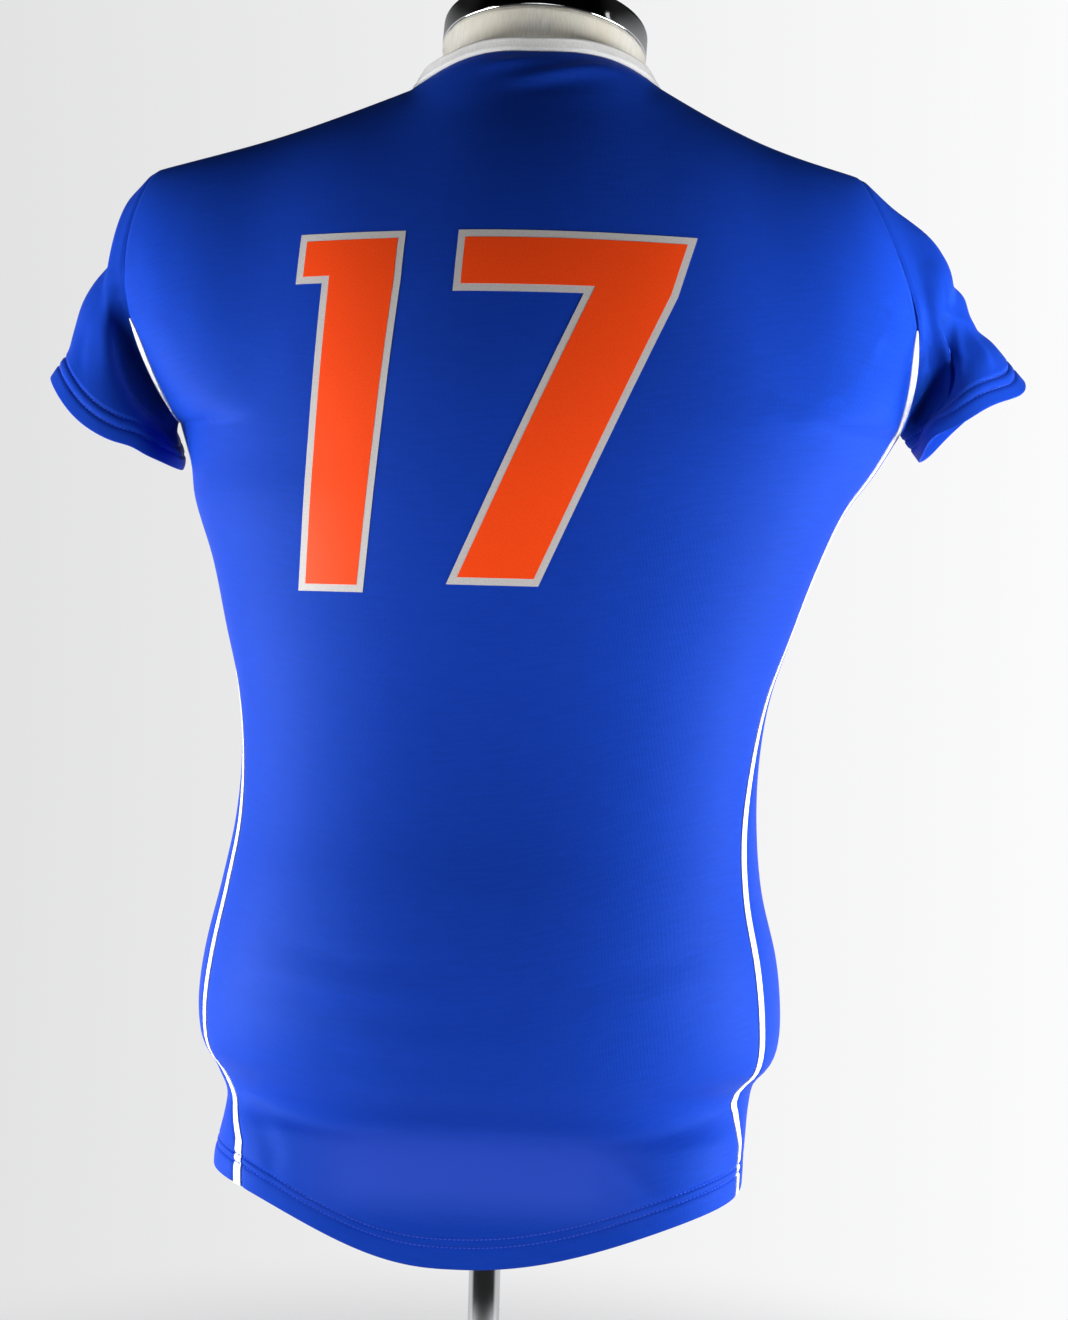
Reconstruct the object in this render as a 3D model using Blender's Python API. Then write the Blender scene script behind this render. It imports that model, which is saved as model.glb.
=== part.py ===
"""Short-sleeved soccer jersey on a limbless dress form with a pole stand.

Units are metres and +Z is up.  The origin is on the floor under the pole.  The wearer faces -Y, so
the back of the jersey faces +Y and the wearer's left is at +X.  Every cloth piece is a thin wall
whose outer face lies on one of three surfaces: the back, the front and the sleeves.
"""

import math
from collections import namedtuple
from functools import lru_cache

import bmesh
import bpy
from mathutils import Vector

# ---- Cloth and seams -------------------------------------------------------------------------
CLOTH = 0.0015
SEAM_GAP = 0.0003
STRIPE_WIDTH = 0.0065
STRIPE_TIP_WIDTH = 0.0006

# ---- Body of the jersey, one row for each horizontal section ----------------------------------
# half widths to the wearer's left and right, depths to the back and front of the pole's axis,
# roundness of the section (2 is an ellipse, less is pointed at the sides) and the angle of the
# side stripe from the widest point towards the back, in degrees
Section = namedtuple("Section", "height left right back front roundness stripe_angle")
SECTIONS = (
    Section(0.260, 0.1675, 0.1700, 0.108, 0.100, 2.10, 22.0),
    Section(0.300, 0.1680, 0.1690, 0.109, 0.101, 2.10, 22.0),
    Section(0.326, 0.1645, 0.1655, 0.108, 0.101, 2.15, 20.0),
    Section(0.338, 0.1660, 0.1645, 0.109, 0.102, 2.20, 20.0),
    Section(0.351, 0.1750, 0.1690, 0.112, 0.104, 2.20, 20.0),
    Section(0.363, 0.1815, 0.1755, 0.115, 0.105, 2.20, 20.5),
    Section(0.376, 0.1845, 0.1800, 0.117, 0.106, 2.20, 21.0),
    Section(0.400, 0.1853, 0.1815, 0.118, 0.106, 2.20, 21.5),
    Section(0.430, 0.1808, 0.1775, 0.116, 0.105, 2.20, 21.5),
    Section(0.470, 0.1715, 0.1675, 0.109, 0.102, 2.20, 20.0),
    Section(0.510, 0.1640, 0.1632, 0.099, 0.099, 2.20, 18.0),
    Section(0.550, 0.1615, 0.1635, 0.094, 0.098, 2.20, 13.0),
    Section(0.590, 0.1650, 0.1690, 0.094, 0.101, 2.15, 8.0),
    Section(0.630, 0.1740, 0.1815, 0.098, 0.108, 2.10, 4.0),
    Section(0.670, 0.1835, 0.1955, 0.103, 0.119, 2.00, 3.0),
    Section(0.707, 0.1960, 0.2120, 0.107, 0.128, 1.90, 4.0),
    Section(0.731, 0.2000, 0.2290, 0.109, 0.131, 1.82, 5.0),
    Section(0.754, 0.2070, 0.2430, 0.110, 0.132, 1.75, 6.0),
)
HEM = SECTIONS[0].height
ARMPIT = SECTIONS[-1].height
HEM_SIDE_RISE = 0.0315
HEM_RISE_EDGE = 0.88
HEM_RISE_POWER = 2.3
HEM_BLEND_TOP = 0.345

# ---- Yoke: armholes, shoulder seams and neckline ----------------------------------------------
# for each side: the shoulder point, the neck point where the shoulder seam meets the neckline, the
# rise of the seam between them, how far the armhole swings outwards, and how late the cloth rises
# from the neck point to the middle of the neckline
Shoulder = namedtuple("Shoulder", "point neck arch armhole_swing neck_curve")
LEFT_SHOULDER = Shoulder(Vector((0.2260, 0.0, 0.9095)), Vector((0.0720, 0.0, 0.9630)), -0.003, 0.016, 4.0)
RIGHT_SHOULDER = Shoulder(Vector((-0.2153, 0.0, 0.9146)), Vector((-0.0920, 0.0, 0.9670)), -0.005, 0.020, 3.0)
ARMHOLE_DEPTH = 0.042
ARMHOLE_REACH = 0.20
SWING_POWER = 0.7
NECK_MIDDLE = -0.0110
NECK_BACK_REACH = 0.0630
NECK_FRONT_REACH = 0.1040
NECK_BACK_RISE = 0.0520
NECK_FRONT_RISE = 0.0138
NECK_FRACTION = 0.36
YOKE_SQUARENESS = 2.2
YOKE_TAPER = 1.3
YOKE_ROWS = 10
YOKE_SPACING = 1.173
STRIPE_TIP_ROW = 3
SHOULDER_COLUMNS = 8
NECK_COLUMNS = 10

# ---- Collar ------------------------------------------------------------------------------------
COLLAR_HEIGHT = 0.0085
COLLAR_THICKNESS = 0.0030
COLLAR_LEAN = 0.12
COLLAR_CORNER = 0.0009

# ---- Sleeves, one row for each: cuff corners on the outer and lower side, the cuff's depth, and the
# direction in which the sleeve leaves the shoulder --------------------------------------------------
Sleeve = namedtuple("Sleeve", "cuff_outer cuff_lower cuff_depth start")
LEFT_SLEEVE = Sleeve(Vector((0.2917, 0.0, 0.7830)), Vector((0.2125, 0.0, 0.7262)), 0.050,
                     Vector((0.40, 0.0, -0.92)))
RIGHT_SLEEVE = Sleeve(Vector((-0.3185, 0.0, 0.7935)), Vector((-0.2570, 0.0, 0.7400)), 0.056,
                      Vector((-0.76, 0.0, -0.65)))
SLEEVE_RINGS = 8

# the largest folds of each sleeve: place round the tube in degrees from the underarm over the back,
# place along it (0 armhole, 1 cuff), both half sizes, and how far the fold stands out (or in)
Fold = namedtuple("Fold", "around along around_size along_size height")
LEFT_FOLDS = (
    Fold(150.0, 0.60, 20.0, 0.30, 0.002),
    Fold(95.0, 0.70, 26.0, 0.45, -0.010),
    Fold(50.0, 0.75, 20.0, 0.35, 0.006),
    Fold(262.0, 0.60, 30.0, 0.45, -0.009),
)
RIGHT_FOLDS = (
    Fold(140.0, 0.50, 20.0, 0.40, 0.003),
    Fold(112.0, 0.60, 24.0, 0.45, -0.011),
    Fold(45.0, 0.80, 20.0, 0.35, 0.007),
    Fold(245.0, 0.55, 26.0, 0.40, -0.006),
)

FOLDS_START = 0.25

# ---- Back number: plain block digits, as convex pieces across (to the wearer's right) and up ------
NUMBER_LEFT = 0.1245
NUMBER_BOTTOM = 0.6510
DIGIT_HEIGHT = 0.2120
DIGIT_LEAN = -0.060
BAR_HEIGHT = 0.0360
FLAG_WIDTH = 0.0170
FLAG_HEIGHT = 0.0300
SEVEN_FOOT = 0.0060
PRINT_THICKNESS = 0.0004

# ---- Dress form ----------------------------------------------------------------------------------
# clearance inside the cloth's outer face, to the sides and in depth, by height
Clearance = namedtuple("Clearance", "height side depth")
FORM_CLEARANCES = (
    Clearance(0.348, 0.0060, 0.0060),
    Clearance(0.362, 0.0040, 0.0040),
    Clearance(0.400, 0.0040, 0.0040),
    Clearance(0.450, 0.0050, 0.0050),
    Clearance(0.550, 0.0090, 0.0070),
    Clearance(0.630, 0.0140, 0.0070),
    Clearance(0.700, 0.0360, 0.0050),
    Clearance(0.740, 0.0500, 0.0045),
)
FORM_ROUNDNESS = 2.15
FORM_BOTTOM = 0.348
FORM_BOTTOM_EDGE = 0.012
FORM_HEIGHTS = (0.380, 0.410, 0.450, 0.500, 0.550, 0.600, 0.650, 0.700, 0.738)
FORM_SHOULDER_GAP = 0.0005
FORM_BACK_GAP = 0.0040
FORM_NECK_DROP = 0.0060
FORM_NECK_BLEND = 0.05
FORM_CLOSE_START = 0.50
FORM_CLOSE_END = 0.95
FORM_COLLAR_CLEARANCE = 0.0080
FORM_SKIPPED_COLUMNS = 2
FORM_TOP_ROW = 0.988

NECK_RADIUS = 0.0615
NECK_TOP_RADIUS = 0.0640
NECK_BASE_CENTRE = Vector((-0.0190, -0.0075, 0.9700))
NECK_TOP_CENTRE = Vector((-0.0215, -0.0100, 0.9990))
CAP_HEIGHT = 0.0160
CAP_EDGE = 0.0045

# ---- Stand ---------------------------------------------------------------------------------------
POLE_RADIUS = 0.0100
BASE_RADIUS = 0.1500
BASE_HEIGHT = 0.0120
BASE_EDGE = 0.0030
BASE_BOSS_RADIUS = 0.0220
BASE_BOSS_TOP_RADIUS = 0.0187
BASE_BOSS_HEIGHT = 0.0160
ROUND_SEGMENTS = 40
POLE_SEGMENTS = 24

# ---- Finishes: colour, roughness, metallic ---------------------------------------------------------
BLUE_KNIT = ("blue_knit", (0.015, 0.060, 0.420), 0.55, 0.0)
WHITE_KNIT = ("white_knit", (0.800, 0.800, 0.790), 0.65, 0.0)
ORANGE_PRINT = ("orange_print", (0.850, 0.110, 0.010), 0.45, 0.0)
FORM_COVER = ("form_cover", (0.780, 0.760, 0.690), 0.85, 0.0)
CHROME = ("chrome", (0.750, 0.750, 0.760), 0.12, 1.0)
DARK_CHROME = ("dark_chrome", (0.060, 0.060, 0.065), 0.15, 1.0)

SMALL = 1e-4


# ---- Sections of the body --------------------------------------------------------------------------

def from_table(table, height, column):
    """Smooth value of a table's column at a height."""
    rows = [(row.height, getattr(row, column)) for row in table]
    if height <= rows[0][0]:
        return rows[0][1]
    if height >= rows[-1][0]:
        return rows[-1][1]
    index = next(i for i in range(len(rows) - 1) if height <= rows[i + 1][0])
    (low, low_value), (high, high_value) = rows[index], rows[index + 1]
    rise = (high_value - low_value) / (high - low)

    def slope_at(i):
        if i in (0, len(rows) - 1):
            return rise
        before, after = rows[i - 1], rows[i + 1]
        return (after[1] - before[1]) / (after[0] - before[0])

    span = high - low
    t = (height - low) / span
    start, end = slope_at(index) * span, slope_at(index + 1) * span
    return (low_value * (2 * t**3 - 3 * t**2 + 1) + start * (t**3 - 2 * t**2 + t)
            + high_value * (3 * t**2 - 2 * t**3) + end * (t**3 - t**2))


def oval_point(height, angle, left, right, back, front, roundness):
    """Point of a horizontal section; angle 0 is the wearer's left and 90 degrees the back."""
    across, deep = math.cos(angle), math.sin(angle)
    power = 2.0 / roundness
    half_width = left if across >= 0 else right
    depth = back if deep >= 0 else front
    return Vector((math.copysign(abs(across) ** power * half_width, across),
                   math.copysign(abs(deep) ** power * depth, deep), height))


@lru_cache(maxsize=None)
def section(height):
    """Sizes of the jersey's section at a height."""
    return tuple(from_table(SECTIONS, height, column)
                 for column in ("left", "right", "back", "front", "roundness"))


def ring_point(height, angle):
    return oval_point(height, angle, *section(height))


@lru_cache(maxsize=None)
def stripe_edge_angle(height, left_side):
    """Angle of the stripe's front edge, where the front panel starts."""
    angle = math.radians(from_table(SECTIONS, height, "stripe_angle"))
    centre = angle if left_side else math.pi - angle
    step = math.radians(1.0)
    speed = (ring_point(height, centre + step) - ring_point(height, centre - step)).length / (2 * step)
    half = STRIPE_WIDTH / 2 / speed
    return centre - half if left_side else centre + half


@lru_cache(maxsize=None)
def half_track(height, is_back):
    """Angles and lengths along the back or front half of a section, from left to right."""
    start, end = stripe_edge_angle(height, True), stripe_edge_angle(height, False)
    if not is_back:
        end -= 2 * math.pi
    steps = 96
    angles = [start + (end - start) * i / steps for i in range(steps + 1)]
    points = [ring_point(height, angle) for angle in angles]
    lengths = [0.0]
    for before, after in zip(points, points[1:]):
        lengths.append(lengths[-1] + (after - before).length)
    return angles, lengths


def angle_along(height, is_back, fraction):
    """Angle at a fraction of the half section's length."""
    angles, lengths = half_track(height, is_back)
    target = fraction * lengths[-1]
    index = 0
    while index < len(lengths) - 2 and lengths[index + 1] < target:
        index += 1
    part = (target - lengths[index]) / (lengths[index + 1] - lengths[index])
    return angles[index] + (angles[index + 1] - angles[index]) * part


# ---- The back and front surfaces -----------------------------------------------------------------
# "across" runs from 0 at the wearer's left side to 1 at the right, "up" from 0 at the hem to 1 at
# the armpit and to 2 at the shoulder seams and the neckline

def smoothstep(t):
    t = min(1.0, max(0.0, t))
    return t * t * (3 - 2 * t)


def lower_point(across, up, is_back):
    """Point below the armpits."""
    height = HEM + (ARMPIT - HEM) * up
    angle = angle_along(height, is_back, across)
    if height < HEM_BLEND_TOP:
        side_rise = HEM_SIDE_RISE * smoothstep(abs(math.cos(angle)) / HEM_RISE_EDGE) ** HEM_RISE_POWER
        height += side_rise * (HEM_BLEND_TOP - height) / (HEM_BLEND_TOP - HEM)
    return ring_point(height, angle)


def quarter_round(part):
    """Height of a squarish quarter oval at a part of its width, both from 0 to 1."""
    return max(0.0, 1 - abs(part) ** YOKE_SQUARENESS) ** (1 / YOKE_SQUARENESS)


def armpit_point(across, is_back):
    return ring_point(ARMPIT, angle_along(ARMPIT, is_back, across))


def top_point(across, is_back):
    """Top point of a column, on the shoulder seam or the neckline, and its ridge height.

    The ridge is the height at which the yoke's surface would close over the shoulder.  The
    neckline lies on that surface, on an oval seen from above.
    """
    shoulder = LEFT_SHOULDER if across <= 0.5 else RIGHT_SHOULDER
    inward = min(across, 1 - across)
    if inward <= NECK_FRACTION:
        part = inward / NECK_FRACTION
        point = shoulder.point.lerp(shoulder.neck, part)
        point.z += shoulder.arch * math.sin(math.pi * part)
        return point, point.z
    turn = math.pi / 2 * (inward - NECK_FRACTION) / (0.5 - NECK_FRACTION)
    half_width = shoulder.neck.x - NECK_MIDDLE
    seam = shoulder.neck - shoulder.point
    seam_rise = seam.z / abs(seam.x) * abs(half_width)
    inside = 1 - math.cos(turn)
    ridge = (shoulder.neck.z + seam_rise * (inside**3 - 2 * inside**2 + inside)
             + (NECK_BACK_RISE if is_back else NECK_FRONT_RISE) * math.sin(turn) ** shoulder.neck_curve)
    deep = (NECK_BACK_REACH if is_back else -NECK_FRONT_REACH) * math.sin(turn)
    high = ARMPIT + (ridge - ARMPIT) * quarter_round(deep / armpit_point(across, is_back).y)
    return Vector((NECK_MIDDLE + half_width * math.cos(turn), deep, high)), ridge


def yoke_point(across, rise, is_back):
    """Point above the armpits; rise is 0 at the armpit and 1 at the shoulder seam."""
    base = armpit_point(across, is_back)
    top, ridge = top_point(across, is_back)
    height = base.z + (top.z - base.z) * rise
    point = Vector((base.x + (top.x - base.x) * rise**YOKE_TAPER,
                    base.y * quarter_round((height - base.z) / (ridge - base.z)), height))
    nearness = max(0.0, 1 - min(across, 1 - across) / ARMHOLE_REACH) ** 2
    shoulder = LEFT_SHOULDER if across <= 0.5 else RIGHT_SHOULDER
    swing = shoulder.armhole_swing * math.sin(math.pi * rise**SWING_POWER)
    point.x += nearness * math.copysign(swing, shoulder.point.x)
    bulge = ARMHOLE_DEPTH * 2 * math.sqrt(max(0.0, rise * (1 - rise)))
    point.y += nearness * (bulge if is_back else -bulge)
    return point


def body_point(across, up, is_back):
    if up <= 1:
        return lower_point(across, up, is_back)
    return yoke_point(across, up - 1, is_back)


def body_normal(across, up, is_back):
    """Outward normal of the body, from small steps that stay on its surface."""
    left, right = max(0.0, across - SMALL), min(1.0, across + SMALL)
    low, high = max(0.0, up - SMALL), min(2.0, up + SMALL)
    width = body_point(right, up, is_back) - body_point(left, up, is_back)
    rise = body_point(across, high, is_back) - body_point(across, low, is_back)
    normal = rise.cross(width).normalized()
    return -normal if is_back else normal


def row_length(up, is_back):
    """Length of a row of the body, for turning a width in metres into a fraction across."""
    points = [body_point(i / 24, up, is_back) for i in range(25)]
    return sum((b - a).length for a, b in zip(points, points[1:]))


def mirrored(fractions):
    """Fractions from the left side to the middle, carried on to the right side."""
    return tuple(fractions) + tuple(1 - f for f in reversed(fractions) if f < 0.5)


PANEL_ACROSS = mirrored([NECK_FRACTION * i / SHOULDER_COLUMNS for i in range(SHOULDER_COLUMNS)]
                        + [NECK_FRACTION + (0.5 - NECK_FRACTION) * 2 * i / NECK_COLUMNS
                           for i in range(NECK_COLUMNS // 2 + 1)])
FORM_ACROSS = PANEL_ACROSS[FORM_SKIPPED_COLUMNS:-FORM_SKIPPED_COLUMNS]
YOKE_RISES = tuple(math.sin(math.pi / 2 * i / YOKE_ROWS) ** YOKE_SPACING for i in range(YOKE_ROWS + 1))
LOWER_UPS = tuple((row.height - HEM) / (ARMPIT - HEM) for row in SECTIONS)
PANEL_UPS = LOWER_UPS + tuple(1 + rise for rise in YOKE_RISES[1:])
STRIPE_UPS = LOWER_UPS + tuple(1 + rise for rise in YOKE_RISES[1:STRIPE_TIP_ROW + 1])


def stripe_width(up):
    """Width of the side stripe, which narrows to a tip on the back of the armhole."""
    tip = STRIPE_UPS[-1]
    if up <= 1:
        return STRIPE_WIDTH
    if up > tip:
        return 0.0
    return STRIPE_WIDTH + (STRIPE_TIP_WIDTH - STRIPE_WIDTH) * (up - 1) / (tip - 1)


# ---- Meshes ------------------------------------------------------------------------------------------

def material(finish):
    name, colour, roughness, metallic = finish
    found = bpy.data.materials.get(name)
    if found:
        return found
    made = bpy.data.materials.new(name)
    made.use_nodes = True
    shader = made.node_tree.nodes["Principled BSDF"]
    shader.inputs["Base Color"].default_value = (*colour, 1.0)
    shader.inputs["Roughness"].default_value = roughness
    shader.inputs["Metallic"].default_value = metallic
    return made


def add_object(name, mesh, finish):
    mesh.materials.append(material(finish))
    mesh.shade_smooth()
    mesh.set_sharp_from_angle(angle=math.radians(50))
    made = bpy.data.objects.new(name, mesh)
    bpy.context.collection.objects.link(made)
    return made


def mesh_from(name, points, faces):
    mesh = bpy.data.meshes.new(name)
    mesh.from_pydata(points, [], faces)
    mesh.update()
    return mesh


def wall_mesh(name, outer, inner, closed_across=False):
    """Closed wall between two grids of points, rows upwards and columns across."""
    rows, columns = len(outer), len(outer[0])
    points = [p for row in outer for p in row] + [p for row in inner for p in row]
    offset = rows * columns
    spans = columns if closed_across else columns - 1
    faces = []
    for r in range(rows - 1):
        for c in range(spans):
            a, b = r * columns + c, r * columns + (c + 1) % columns
            up_a, up_b = a + columns, b + columns
            faces.append((a, up_a, up_b, b))
            faces.append((a + offset, b + offset, up_b + offset, up_a + offset))
    for c in range(spans):
        a, b = c, (c + 1) % columns
        faces.append((a, b, b + offset, a + offset))
        a, b = a + (rows - 1) * columns, b + (rows - 1) * columns
        faces.append((a, a + offset, b + offset, b))
    if not closed_across:
        for r in range(rows - 1):
            a, up = r * columns, (r + 1) * columns
            faces.append((a, a + offset, up + offset, up))
            a, up = a + columns - 1, up + columns - 1
            faces.append((a, up, up + offset, a + offset))
    return mesh_from(name, points, faces)


def columns_between(left, right):
    """Fractions across of a panel's columns: its two edges and the shared columns between them."""
    return [left] + [f for f in PANEL_ACROSS if 0 < f < 1] + [right]


def cloth_patch(name, is_back, ups, edges, finish, narrow=False):
    """Wall over part of the body; edges(up) gives the fractions across at its two sides."""
    outer, inner = [], []
    ridge_trim = SEAM_GAP / 2 if is_back else -SEAM_GAP / 2
    for up in ups:
        left, right = edges(up)
        outer_row, inner_row = [], []
        for across in ([left, right] if narrow else columns_between(left, right)):
            point = body_point(across, up, is_back)
            normal = body_normal(across, up, is_back)
            if up >= 2 and min(across, 1 - across) <= NECK_FRACTION:
                point.y += ridge_trim
            outer_row.append(point)
            inner_row.append(point - normal * CLOTH)
        outer.append(outer_row[::-1] if is_back else outer_row)
        inner.append(inner_row[::-1] if is_back else inner_row)
    return add_object(name, wall_mesh(name, outer, inner), finish)


# ---- Cloth pieces ------------------------------------------------------------------------------------

def back_edges(up):
    inset = (stripe_width(up) + SEAM_GAP) / row_length(up, True)
    return inset, 1 - inset


def front_edges(up):
    inset = SEAM_GAP / row_length(up, False)
    return inset, 1 - inset


def left_stripe_edges(up):
    return 0.0, stripe_width(up) / row_length(up, True)


def right_stripe_edges(up):
    left, right = left_stripe_edges(up)
    return 1 - right, 1 - left


def make_body():
    cloth_patch("back_panel", True, PANEL_UPS, back_edges, BLUE_KNIT)
    cloth_patch("front_panel", False, PANEL_UPS, front_edges, BLUE_KNIT)
    cloth_patch("stripe_left", True, STRIPE_UPS, left_stripe_edges, WHITE_KNIT, narrow=True)
    cloth_patch("stripe_right", True, STRIPE_UPS, right_stripe_edges, WHITE_KNIT, narrow=True)


def neckline_loop():
    """Neckline from the left neck point over the back, and round the front to the start."""
    spans = PANEL_ACROSS[SHOULDER_COLUMNS:-SHOULDER_COLUMNS]
    back = [top_point(across, True)[0] for across in spans]
    front = [top_point(across, False)[0] for across in reversed(spans)]
    return back + front[1:-1]


def make_collar():
    """Rolled band that stands on the neckline and leans a little towards the neck."""
    path = neckline_loop()
    centre = sum(path, Vector()) / len(path)
    inner, corner = -COLLAR_THICKNESS, COLLAR_CORNER
    profile = ((0.0, corner), (0.0, COLLAR_HEIGHT - corner), (-corner, COLLAR_HEIGHT),
               (inner + corner, COLLAR_HEIGHT), (inner, COLLAR_HEIGHT - corner), (inner, corner),
               (inner + corner, 0.0), (-corner, 0.0))
    points, faces = [], []
    for position in path:
        outward = Vector((position.x - centre.x, position.y - centre.y, 0)).normalized()
        upward = (Vector((0, 0, 1)) - outward * COLLAR_LEAN).normalized()
        start = position + Vector((0, 0, SEAM_GAP))
        points += [start + outward * out + upward * high for out, high in profile]
    sides, count = len(profile), len(path)
    for i in range(count):
        for k in range(sides):
            a, b = i * sides + k, i * sides + (k + 1) % sides
            c, d = ((i + 1) % count) * sides + (k + 1) % sides, ((i + 1) % count) * sides + k
            faces.append((a, d, c, b))
    add_object("collar", mesh_from("collar", points, faces), WHITE_KNIT)


def armhole_loop(left_side):
    """Armhole from the underarm over the back to the shoulder and down the front."""
    across = 0.0 if left_side else 1.0
    back = [yoke_point(across, rise, True) for rise in YOKE_RISES]
    front = [yoke_point(across, rise, False) for rise in reversed(YOKE_RISES)]
    return back + front[1:-1]


def armhole_normals(left_side):
    """Outward directions of the body's wall round the armhole."""
    across = 0.0 if left_side else 1.0
    back = [body_normal(across, 1 + rise, True) for rise in YOKE_RISES]
    front = [body_normal(across, 1 + rise, False) for rise in reversed(YOKE_RISES)]
    return back + front[1:-1]


def fold_height(folds, around, along):
    """How far the folds move the sleeve's wall outwards."""
    height = 0.0
    for fold in folds:
        turn = (around - fold.around + 180) % 360 - 180
        height += fold.height * math.exp(-(turn / fold.around_size) ** 2
                                         - ((along - fold.along) / fold.along_size) ** 2)
    return height * smoothstep(along / FOLDS_START)


def make_sleeve(name, left_side, sleeve, folds):
    """Hollow tube from the armhole to the open cuff."""
    side = 1 if left_side else -1
    loop = armhole_loop(left_side)
    count = len(loop)
    cuff_centre = (sleeve.cuff_outer + sleeve.cuff_lower) / 2
    cuff_half = (sleeve.cuff_outer - sleeve.cuff_lower) / 2
    end = Vector((-cuff_half.z, 0, cuff_half.x)).normalized()
    if end.z > 0:
        end = -end

    seam_normals = armhole_normals(left_side)

    def ring(along):
        ring_points = []
        for i, seam_point in enumerate(loop):
            turn = 2 * math.pi * i / count
            cuff_point = cuff_centre - cuff_half * math.cos(turn)
            cuff_point.y += sleeve.cuff_depth * math.sin(turn)
            length = (cuff_point - seam_point).length
            t = along
            point = (seam_point * (2 * t**3 - 3 * t**2 + 1)
                     + sleeve.start * length * (t**3 - 2 * t**2 + t)
                     + cuff_point * (3 * t**2 - 2 * t**3) + end * length * (t**3 - t**2))
            ring_points.append(point)
        return ring_points

    outer = [ring(j / SLEEVE_RINGS) for j in range(SLEEVE_RINGS + 1)]
    sideways = Vector((side, 0, 0))
    above_arm = [(1 - math.cos(2 * math.pi * i / count)) / 2 for i in range(count)]
    outer[0] = [p + sideways.lerp(sleeve.start, top) * SEAM_GAP for p, top in zip(outer[0], above_arm)]
    out_rows, in_rows = [], []
    for j, row in enumerate(outer):
        below, above = outer[max(0, j - 1)], outer[min(SLEEVE_RINGS, j + 1)]
        out_row, in_row = [], []
        for i, point in enumerate(row):
            round_step = row[(i + 1) % count] - row[i - 1]
            normal = (above[i] - below[i]).cross(round_step).normalized() * -side
            if j == 0:
                normal = normal.lerp(seam_normals[i], above_arm[i]).normalized()
            lift = fold_height(folds, 360 * i / count, j / SLEEVE_RINGS)
            out_row.append(point + normal * lift)
            in_row.append(point + normal * (lift - CLOTH))
        out_rows.append(out_row)
        in_rows.append(in_row)
    if left_side:
        out_rows = [list(reversed(row)) for row in out_rows]
        in_rows = [list(reversed(row)) for row in in_rows]
    add_object(name, wall_mesh(name, out_rows, in_rows, closed_across=True), BLUE_KNIT)


# ---- Back number ---------------------------------------------------------------------------------------

def digit_pieces():
    """Convex pieces of the two plain digits, across from the number's left edge and up."""
    top = DIGIT_HEIGHT
    flag_low = top - FLAG_HEIGHT
    bar_low = top - BAR_HEIGHT
    one = (
        ((FLAG_WIDTH, 0.0), (0.0580, 0.0), (0.0660, flag_low), (FLAG_WIDTH, flag_low)),
        ((FLAG_WIDTH, flag_low), (0.0660, flag_low), (0.0660, top), (FLAG_WIDTH, top)),
        ((0.0, flag_low), (FLAG_WIDTH, flag_low), (FLAG_WIDTH, top), (0.0, top)),
    )
    seven = (
        ((0.0980, bar_low), (0.1740, bar_low), (0.1740, top), (0.0980, top)),
        ((0.1740, bar_low), (0.2280, bar_low), (0.2360, top), (0.1740, top)),
        ((0.1080, SEVEN_FOOT), (0.1620, SEVEN_FOOT), (0.2280, bar_low), (0.1740, bar_low)),
    )
    return one, seven


def clip_to_piece(mesh, piece):
    """Keep only the faces inside a convex piece, seen from behind."""
    corners = []
    for across, high in piece:
        corners.append(Vector((NUMBER_LEFT - across + DIGIT_LEAN * (high - DIGIT_HEIGHT / 2), 0,
                               NUMBER_BOTTOM + high)))
    middle = sum(corners, Vector()) / len(corners)
    for start, end in zip(corners, corners[1:] + corners[:1]):
        outward = (end - start).cross(Vector((0, 1, 0)))
        if outward.dot(middle - start) > 0:
            outward = -outward
        bmesh.ops.bisect_plane(mesh, geom=mesh.verts[:] + mesh.edges[:] + mesh.faces[:], dist=1e-7,
                               plane_co=start, plane_no=outward, clear_outer=True)


def make_digit(name, pieces):
    """Thin print that lies on the back panel, cut from the panel's own faces and moved out."""
    whole = bmesh.new()
    for piece in pieces:
        patch = bmesh.new()
        grid = []
        for up in PANEL_UPS:
            columns = columns_between(*back_edges(up))
            grid.append([patch.verts.new(body_point(across, up, True)) for across in columns])
        for low, high in zip(grid, grid[1:]):
            for c in range(len(low) - 1):
                patch.faces.new((low[c], low[c + 1], high[c + 1], high[c]))
        bmesh.ops.triangulate(patch, faces=patch.faces[:])
        clip_to_piece(patch, piece)
        copy = {vert: whole.verts.new(vert.co) for vert in patch.verts}
        for face in patch.faces:
            whole.faces.new([copy[vert] for vert in face.verts])
        patch.free()
    bmesh.ops.remove_doubles(whole, verts=whole.verts[:], dist=1e-6)
    bmesh.ops.triangulate(whole, faces=whole.faces[:])
    whole.normal_update()
    whole.verts.index_update()
    normals = [vert.normal.copy() for vert in whole.verts]
    low = [vert.co + normal * SEAM_GAP for vert, normal in zip(whole.verts, normals)]
    high = [vert.co + normal * (SEAM_GAP + PRINT_THICKNESS) for vert, normal in zip(whole.verts, normals)]
    count = len(low)
    faces = []
    for face in whole.faces:
        ring = [vert.index for vert in face.verts]
        faces.append([i + count for i in ring])
        faces.append(list(reversed(ring)))
    for edge in whole.edges:
        if edge.is_boundary:
            loop = edge.link_loops[0]
            a, b = loop.vert.index, loop.link_loop_next.vert.index
            faces.append([a, b, b + count, a + count])
    whole.free()
    add_object(name, mesh_from(name, low + high, faces), ORANGE_PRINT)


# ---- Dress form and stand ------------------------------------------------------------------------------

def between(start, end):
    """The two values that divide a span in three."""
    return [start + (end - start) / 3, start + (end - start) * 2 / 3]


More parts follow.
